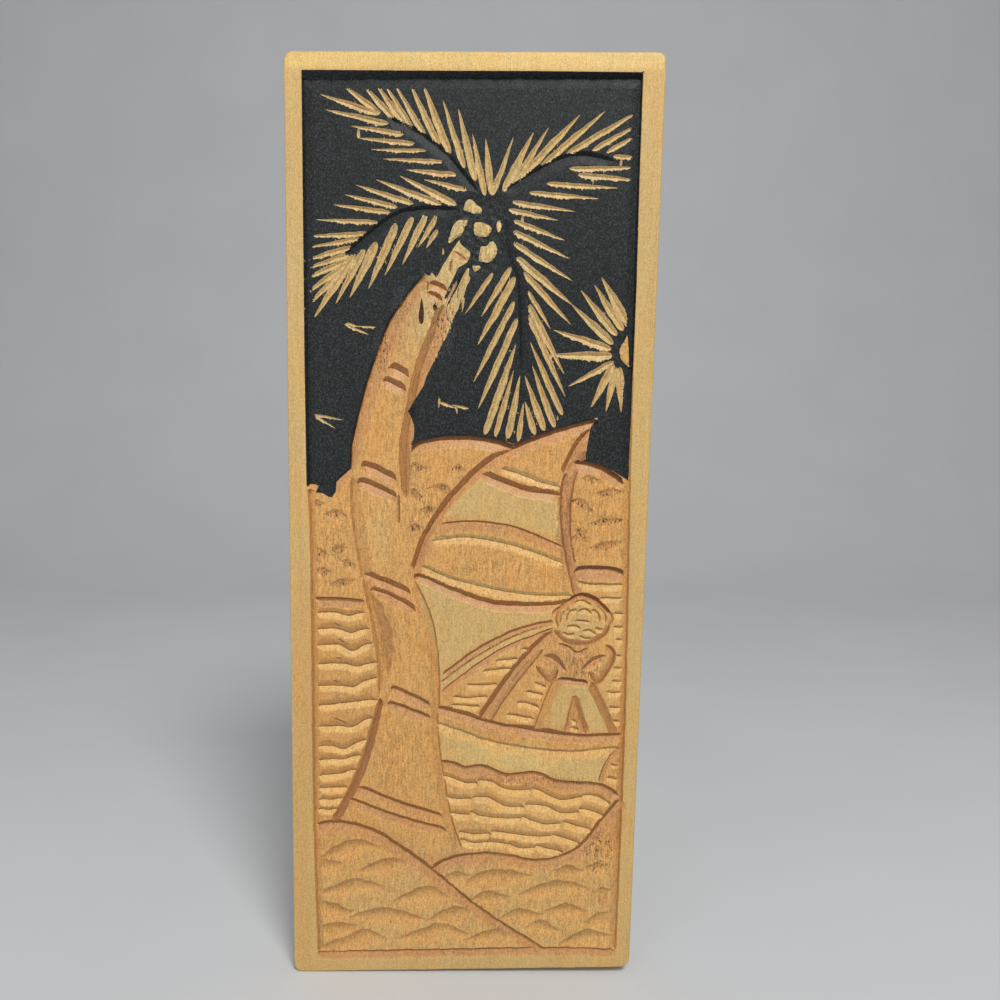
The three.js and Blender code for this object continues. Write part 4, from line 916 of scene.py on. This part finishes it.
def carved_mesh():
    """The whole board as one closed mesh: its points with their depth, its faces, and the carved side's own
    points and faces."""
    ring, out = outline_ring()
    count = len(ring)
    wear = np.clip(0.1 + 0.12 * hand_wander(np.arange(count) * 2.2, (7, 13, 31)), 0, 0.4)
    flat, faces, number = front_face(ring - out * wear[:, None])
    depth = relief(flat)
    depth[number] = 0

    points = [np.column_stack([flat, depth])]
    radius = EASED_EDGE + wear
    for angle in np.linspace(0, math.pi / 2, 5)[1:]:
        offset = radius * math.sin(angle) - wear
        points.append(np.column_stack([ring + out * offset[:, None], radius * (1 - math.cos(angle))]))
    for level in (3.5, 6.5, 9.5):
        points.append(np.column_stack([ring + out * EASED_EDGE, np.full(count, level)]))
    for angle in (math.pi / 2, math.pi / 4, 0):
        level = THICKNESS - EASED_EDGE * (1 - math.cos(angle))
        points.append(np.column_stack([ring + out * EASED_EDGE * math.sin(angle), np.full(count, level)]))
    rings = [number] + [len(flat) + k * count + np.arange(count) for k in range(len(points) - 1)]
    side_faces = []
    for upper, lower in zip(rings[:-1], rings[1:]):
        a, b = upper, np.roll(upper, -1)
        c, d = np.roll(lower, -1), lower
        side_faces += [np.stack([a, b, c], 1), np.stack([a, c, d], 1)]

    xs, zs = np.meshgrid(np.arange(-58, 59, 8.3), np.arange(-160, 161, 8.3))
    sown = np.stack([xs.ravel(), zs.ravel()], 1) + random.uniform(-1, 1, (xs.size, 2))
    sown = sown[inside_distance(ring, sown) > 3]
    loop = [(k, (k + 1) % count) for k in range(count)]
    result = delaunay_2d_cdt([Vector(p) for p in np.vstack([ring, sown]).tolist()], loop, [], 1, 0.001)
    back_flat = np.array([tuple(p) for p in result[0]])
    back_number = np.arange(len(back_flat)) + len(flat) + (len(points) - 1) * count
    for new, olds in enumerate(result[3]):
        for old in olds:
            if old < count:
                back_number[new] = rings[-1][old]
    points.append(np.column_stack([back_flat, np.full(len(back_flat), THICKNESS)]))
    back_faces = back_number[np.array([tuple(f)[::-1] for f in result[2]])]
    return np.vstack(points), np.vstack([faces, *side_faces, back_faces]), flat, faces


def torn_grain(at):
    """How badly the grain is torn at each point, from 0 to 1."""
    torn = 0.45 * smooth_step(-0.3, 0.3, inside_distance(PICTURE, at))
    for outline in PANELS:
        torn -= 0.25 * smooth_step(-0.7, 0.7, inside_distance(outline, at))
    for x, z, half_width, half_height, turn in SMOOTH:
        torn *= 1 - 0.6 * smooth_step(0, 0.3, in_ellipse(at, x, z, half_width, half_height, turn))
    for x, z, half_width, half_height, strength in TORN:
        torn = np.maximum(torn, strength * smooth_step(0, 0.6, in_ellipse(at, x, z, half_width, half_height)))
    for cut in cuts:
        if cut["finish"] == "scoop":
            near = near_cut(cut, at)
            across = read_cut(cut, at[near])[1]
            torn[near] = np.maximum(torn[near], 1.1 * smooth_step(1, 0.4, np.abs(across - 0.1)))
    return torn


def add_attribute(mesh, name, kind, domain, field, values):
    mesh.attributes.new(name, kind, domain).data.foreach_set(field, values.ravel())


def build_board():
    points, all_faces, flat, faces = carved_mesh()
    tint, paint = face_corners(flat, faces)
    used = np.unique(all_faces)
    renumber = np.full(len(points), -1)
    renumber[used] = np.arange(len(used))
    all_faces = renumber[all_faces]
    x, z, deep = points[used].T
    corners = 3 * len(all_faces)
    mesh = bpy.data.meshes.new("carved_board")
    mesh.vertices.add(len(x))
    mesh.vertices.foreach_set("co", (np.stack([x, deep - THICKNESS, z], 1) * MM).ravel())
    mesh.loops.add(corners)
    mesh.polygons.add(len(all_faces))
    mesh.polygons.foreach_set("loop_start", np.arange(0, corners, 3))
    mesh.loops.foreach_set("vertex_index", all_faces.ravel())
    mesh.polygons.foreach_set("use_smooth", np.ones(len(all_faces), bool))
    mesh.update(calc_edges=True)
    mesh.validate()
    mesh.set_sharp_from_angle(angle=math.radians(22))

    colours = np.ones((corners, 4))
    colours[:, :3] = WOOD
    colours[:len(tint), :3] = tint
    paint = np.concatenate([paint, np.full(corners - len(paint), -UNPAINTED)])
    torn = np.where(deep < 3, torn_grain(points[used, :2]), 0)
    add_attribute(mesh, "tint", "FLOAT_COLOR", "CORNER", "color", colours)
    add_attribute(mesh, "paint", "FLOAT", "CORNER", "value", paint)
    add_attribute(mesh, "torn", "FLOAT", "POINT", "value", torn)
    board = bpy.data.objects.new("carved_board", mesh)
    bpy.context.scene.collection.objects.link(board)
    return board


# Materials

class Tree:
    """Short ways to add shader nodes to one material."""

    def __init__(self, name):
        self.material = bpy.data.materials.new(name)
        self.material.use_nodes = True
        self.nodes = self.material.node_tree.nodes
        self.links = self.material.node_tree.links
        self.shader = self.nodes["Principled BSDF"]

    def plug(self, node, name, value):
        socket = node.inputs[name]
        if isinstance(value, bpy.types.NodeSocket):
            self.links.new(value, socket)
        else:
            socket.default_value = value

    def attribute(self, name, output="Fac"):
        node = self.nodes.new("ShaderNodeAttribute")
        node.attribute_name = name
        return node.outputs[output]

    def math(self, operation, *values, clamp=False):
        node = self.nodes.new("ShaderNodeMath")
        node.operation = operation
        node.use_clamp = clamp
        for index, value in enumerate(values):
            self.plug(node, index, value)
        return node.outputs[0]

    def sum(self, *terms):
        """The sum of value times weight over all terms."""
        total = self.math("MULTIPLY", *terms[0])
        for value, weight in terms[1:]:
            total = self.math("ADD", total, self.math("MULTIPLY", value, weight))
        return total

    def noise(self, scale, detail=2.0, roughness=0.5, distortion=0.0):
        """Noise between 0 and 1. scale is how often it repeats in a metre along x, y and z."""
        node = self.nodes.new("ShaderNodeMapping")
        self.plug(node, "Vector", self.place())
        self.plug(node, "Scale", scale)
        noise = self.nodes.new("ShaderNodeTexNoise")
        self.plug(noise, "Vector", node.outputs[0])
        self.plug(noise, "Scale", 1.0)
        self.plug(noise, "Detail", detail)
        self.plug(noise, "Roughness", roughness)
        self.plug(noise, "Distortion", distortion)
        return noise.outputs["Fac"]

    def place(self):
        if not hasattr(self, "coordinates"):
            self.coordinates = self.nodes.new("ShaderNodeTexCoord").outputs["Object"]
        return self.coordinates

    def ramp(self, value, low, high, low_to=0.0, high_to=1.0):
        node = self.nodes.new("ShaderNodeMapRange")
        node.interpolation_type = "SMOOTHSTEP"
        for name, number in (("Value", value), ("From Min", low), ("From Max", high), ("To Min", low_to),
                             ("To Max", high_to)):
            self.plug(node, name, number)
        return node.outputs[0]

    def blend(self, share, a, b, kind="MIX"):
        node = self.nodes.new("ShaderNodeMix")
        node.data_type = "RGBA"
        node.blend_type = kind
        for index, value in ((0, share), (6, a), (7, b)):
            self.plug(node, index, value)
        return node.outputs[2]

    def grey(self, value):
        node = self.nodes.new("ShaderNodeCombineColor")
        for name in ("Red", "Green", "Blue"):
            self.plug(node, name, value)
        return node.outputs[0]

    def bump(self, height, strength, distance, normal=None):
        node = self.nodes.new("ShaderNodeBump")
        self.plug(node, "Height", height)
        self.plug(node, "Strength", strength)
        self.plug(node, "Distance", distance)
        if normal is not None:
            self.plug(node, "Normal", normal)
        return node.outputs[0]


def rgba(colour):
    return (*[float(c) for c in colour], 1.0)


def wood_material():
    """Pale straight-grained wood under a thin coat, black paint with dust and painted glints where the sky is, stain
    and painted shade in the cuts.
    """
    tree = Tree("carved_wood")
    bands = tree.noise((90, 90, 4), 2, 0.5, 0.6)
    patches = tree.noise((140, 140, 60), 2, 0.5)
    grain = tree.noise((700, 700, 30), 3, 0.6)
    fibre = tree.noise((1600, 1600, 320), 2, 0.6)
    grit = tree.noise((2300, 2300, 1700), 1, 0.6)
    specks = tree.noise((1300, 1300, 640), 3, 0.65)
    dust_and_glints = tree.noise((2500, 2500, 1700), 1, 0.6)
    tatter = tree.noise((1700, 1700, 600), 3, 0.6)
    torn = tree.attribute("torn")

    fibre_share = tree.ramp(torn, 0, 1, 0.35, 1.9)
    grit_share = tree.ramp(torn, 0, 1, 0.9, 1.5)
    uneven = tree.sum((tree.math("SUBTRACT", fibre, 0.5), fibre_share), (tree.math("SUBTRACT", grit, 0.5), grit_share))
    tone = tree.sum((bands, 0.16), (grain, 0.25), (uneven, 1.0), (1.0, 0.795))
    wood = tree.blend(1.0, tree.attribute("tint", "Color"), tree.grey(tone), "MULTIPLY")
    wood = tree.blend(tree.ramp(patches, 0.4, 0.65, 0, 0.6), wood, (1.05, 0.96, 0.84, 1), "MULTIPLY")
    limit = tree.math("SUBTRACT", 0.76, tree.math("MULTIPLY", torn, 0.18))
    speck = tree.ramp(tree.math("SUBTRACT", specks, limit), 0.0, 0.06)
    wood = tree.blend(tree.math("MULTIPLY", speck, 0.6), wood, rgba(BROWN * 0.7))

    ragged = tree.math("MULTIPLY", tree.math("SUBTRACT", tatter, 0.5), tree.ramp(torn, 0.6, 1, 0.9, 5))
    paint = tree.ramp(tree.math("ADD", tree.attribute("paint"), ragged), -0.05, 0.05)
    # lighter specks in the black: dust and worn paint, partly painted glints, stronger where the grain is torn
    black = tree.blend(1.0, rgba(PAINT), tree.grey(tree.math("MULTIPLY", tree.ramp(dust_and_glints, 0.42, 0.75, 0.7, 4), tree.ramp(torn, 0.5, 1, 1, 1.8))), "MULTIPLY")
    tree.plug(tree.shader, "Base Color", tree.blend(paint, wood, black))
    tree.plug(tree.shader, "Roughness", tree.sum((fibre, 0.25), (paint, 0.08), (1.0, 0.36)))
    tree.plug(tree.shader, "Specular IOR Level", tree.ramp(paint, 0, 1, 0.5, 0.32))
    tree.plug(tree.shader, "IOR", 1.45)
    height = tree.sum((fibre, 0.6), (grain, 0.4), (grit, tree.ramp(torn, 0, 1, 0.3, 0.8)), (speck, -0.8),
                      (paint, 0.15))
    tree.plug(tree.shader, "Normal", tree.bump(height, 0.7, 0.0002))
    return tree.material


def floor_material():
    tree = Tree("pale_floor")
    mottle = tree.noise((9, 9, 9), 3, 0.5)
    tree.plug(tree.shader, "Base Color", tree.blend(mottle, (0.58, 0.6, 0.63, 1), (0.64, 0.66, 0.69, 1)))
    tree.plug(tree.shader, "Roughness", 0.8)
    return tree.material


# Floor, light and camera

def add_floor():
    """A pale floor that sweeps up into a backdrop behind the plaque."""
    low = -(HEIGHT + END_SKEW) / 2 * MM
    back, radius, steps = 1.1, 0.5, 12
    profile = [(-2.5, low), (back - radius, low)]
    for step in range(1, steps + 1):
        angle = step / steps * math.pi / 2
        profile.append((back - radius + radius * math.sin(angle), low + radius * (1 - math.cos(angle))))
    profile.append((back, low + 3))
    vertices = [(x, y, z) for y, z in profile for x in (-3, 3)]
    faces = [(2 * k, 2 * k + 1, 2 * k + 3, 2 * k + 2) for k in range(len(profile) - 1)]
    mesh = bpy.data.meshes.new("floor")
    mesh.from_pydata(vertices, [], faces)
    for polygon in mesh.polygons:
        polygon.use_smooth = True
    floor = bpy.data.objects.new("floor", mesh)
    mesh.materials.append(floor_material())
    bpy.context.scene.collection.objects.link(floor)


def add_light(name, location, target, size, power, colour=(1, 1, 1)):
    light = bpy.data.lights.new(name, "AREA")
    light.shape = "DISK"
    light.size = size
    light.energy = power
    light.color = colour
    lamp = bpy.data.objects.new(name, light)
    lamp.location = location
    lamp.rotation_euler = (Vector(target) - Vector(location)).to_track_quat("-Z", "Y").to_euler()
    bpy.context.scene.collection.objects.link(lamp)


def add_studio():
    add_light("key", (0.25, -0.7, 0.95), (0, 0, 0.02), 0.4, 11, (1, 0.98, 0.95))
    add_light("fill", (-0.7, -0.9, 0.1), (0, 0, 0), 0.9, 3)
    world = bpy.data.worlds.new("studio")
    world.use_nodes = True
    world.node_tree.nodes["Background"].inputs["Color"].default_value = (1, 0.98, 0.94, 1)
    world.node_tree.nodes["Background"].inputs["Strength"].default_value = 0.33
    bpy.context.scene.world = world
    bpy.context.scene.view_settings.view_transform = "Standard"


def add_camera():
    """The photograph's place and direction, worked out from the board's corners in the picture."""
    camera = bpy.data.cameras.new("camera")
    camera.sensor_width = 36
    camera.lens = 28.08
    camera.clip_start = 0.01
    forward = Vector((0.01734182, 0.99321151, -0.11502239))
    right = Vector((0.99969942, -0.01523017, 0.01921211))
    up = right.cross(forward)
    turn = Matrix((right, up, -forward)).transposed()
    eye = bpy.data.objects.new("camera", camera)
    eye.matrix_world = Matrix.Translation(Vector((6.109, -286.775, 46.81)) * MM) @ turn.to_4x4()
    bpy.context.scene.collection.objects.link(eye)
    bpy.context.scene.camera = eye


def carve():
    for group in (cut_rim, cut_fronds, cut_birds, cut_trunk, cut_hills, cut_sail, cut_pole, cut_fisherman,
                  cut_boat, cut_left_sea, cut_right_sea, cut_inlets, cut_boat_waves, cut_beach):
        group()


carve()
board = build_board()
board.data.materials.append(wood_material())
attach(board, "root")
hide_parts("carved_plaque")
add_floor()
add_studio()
add_camera()
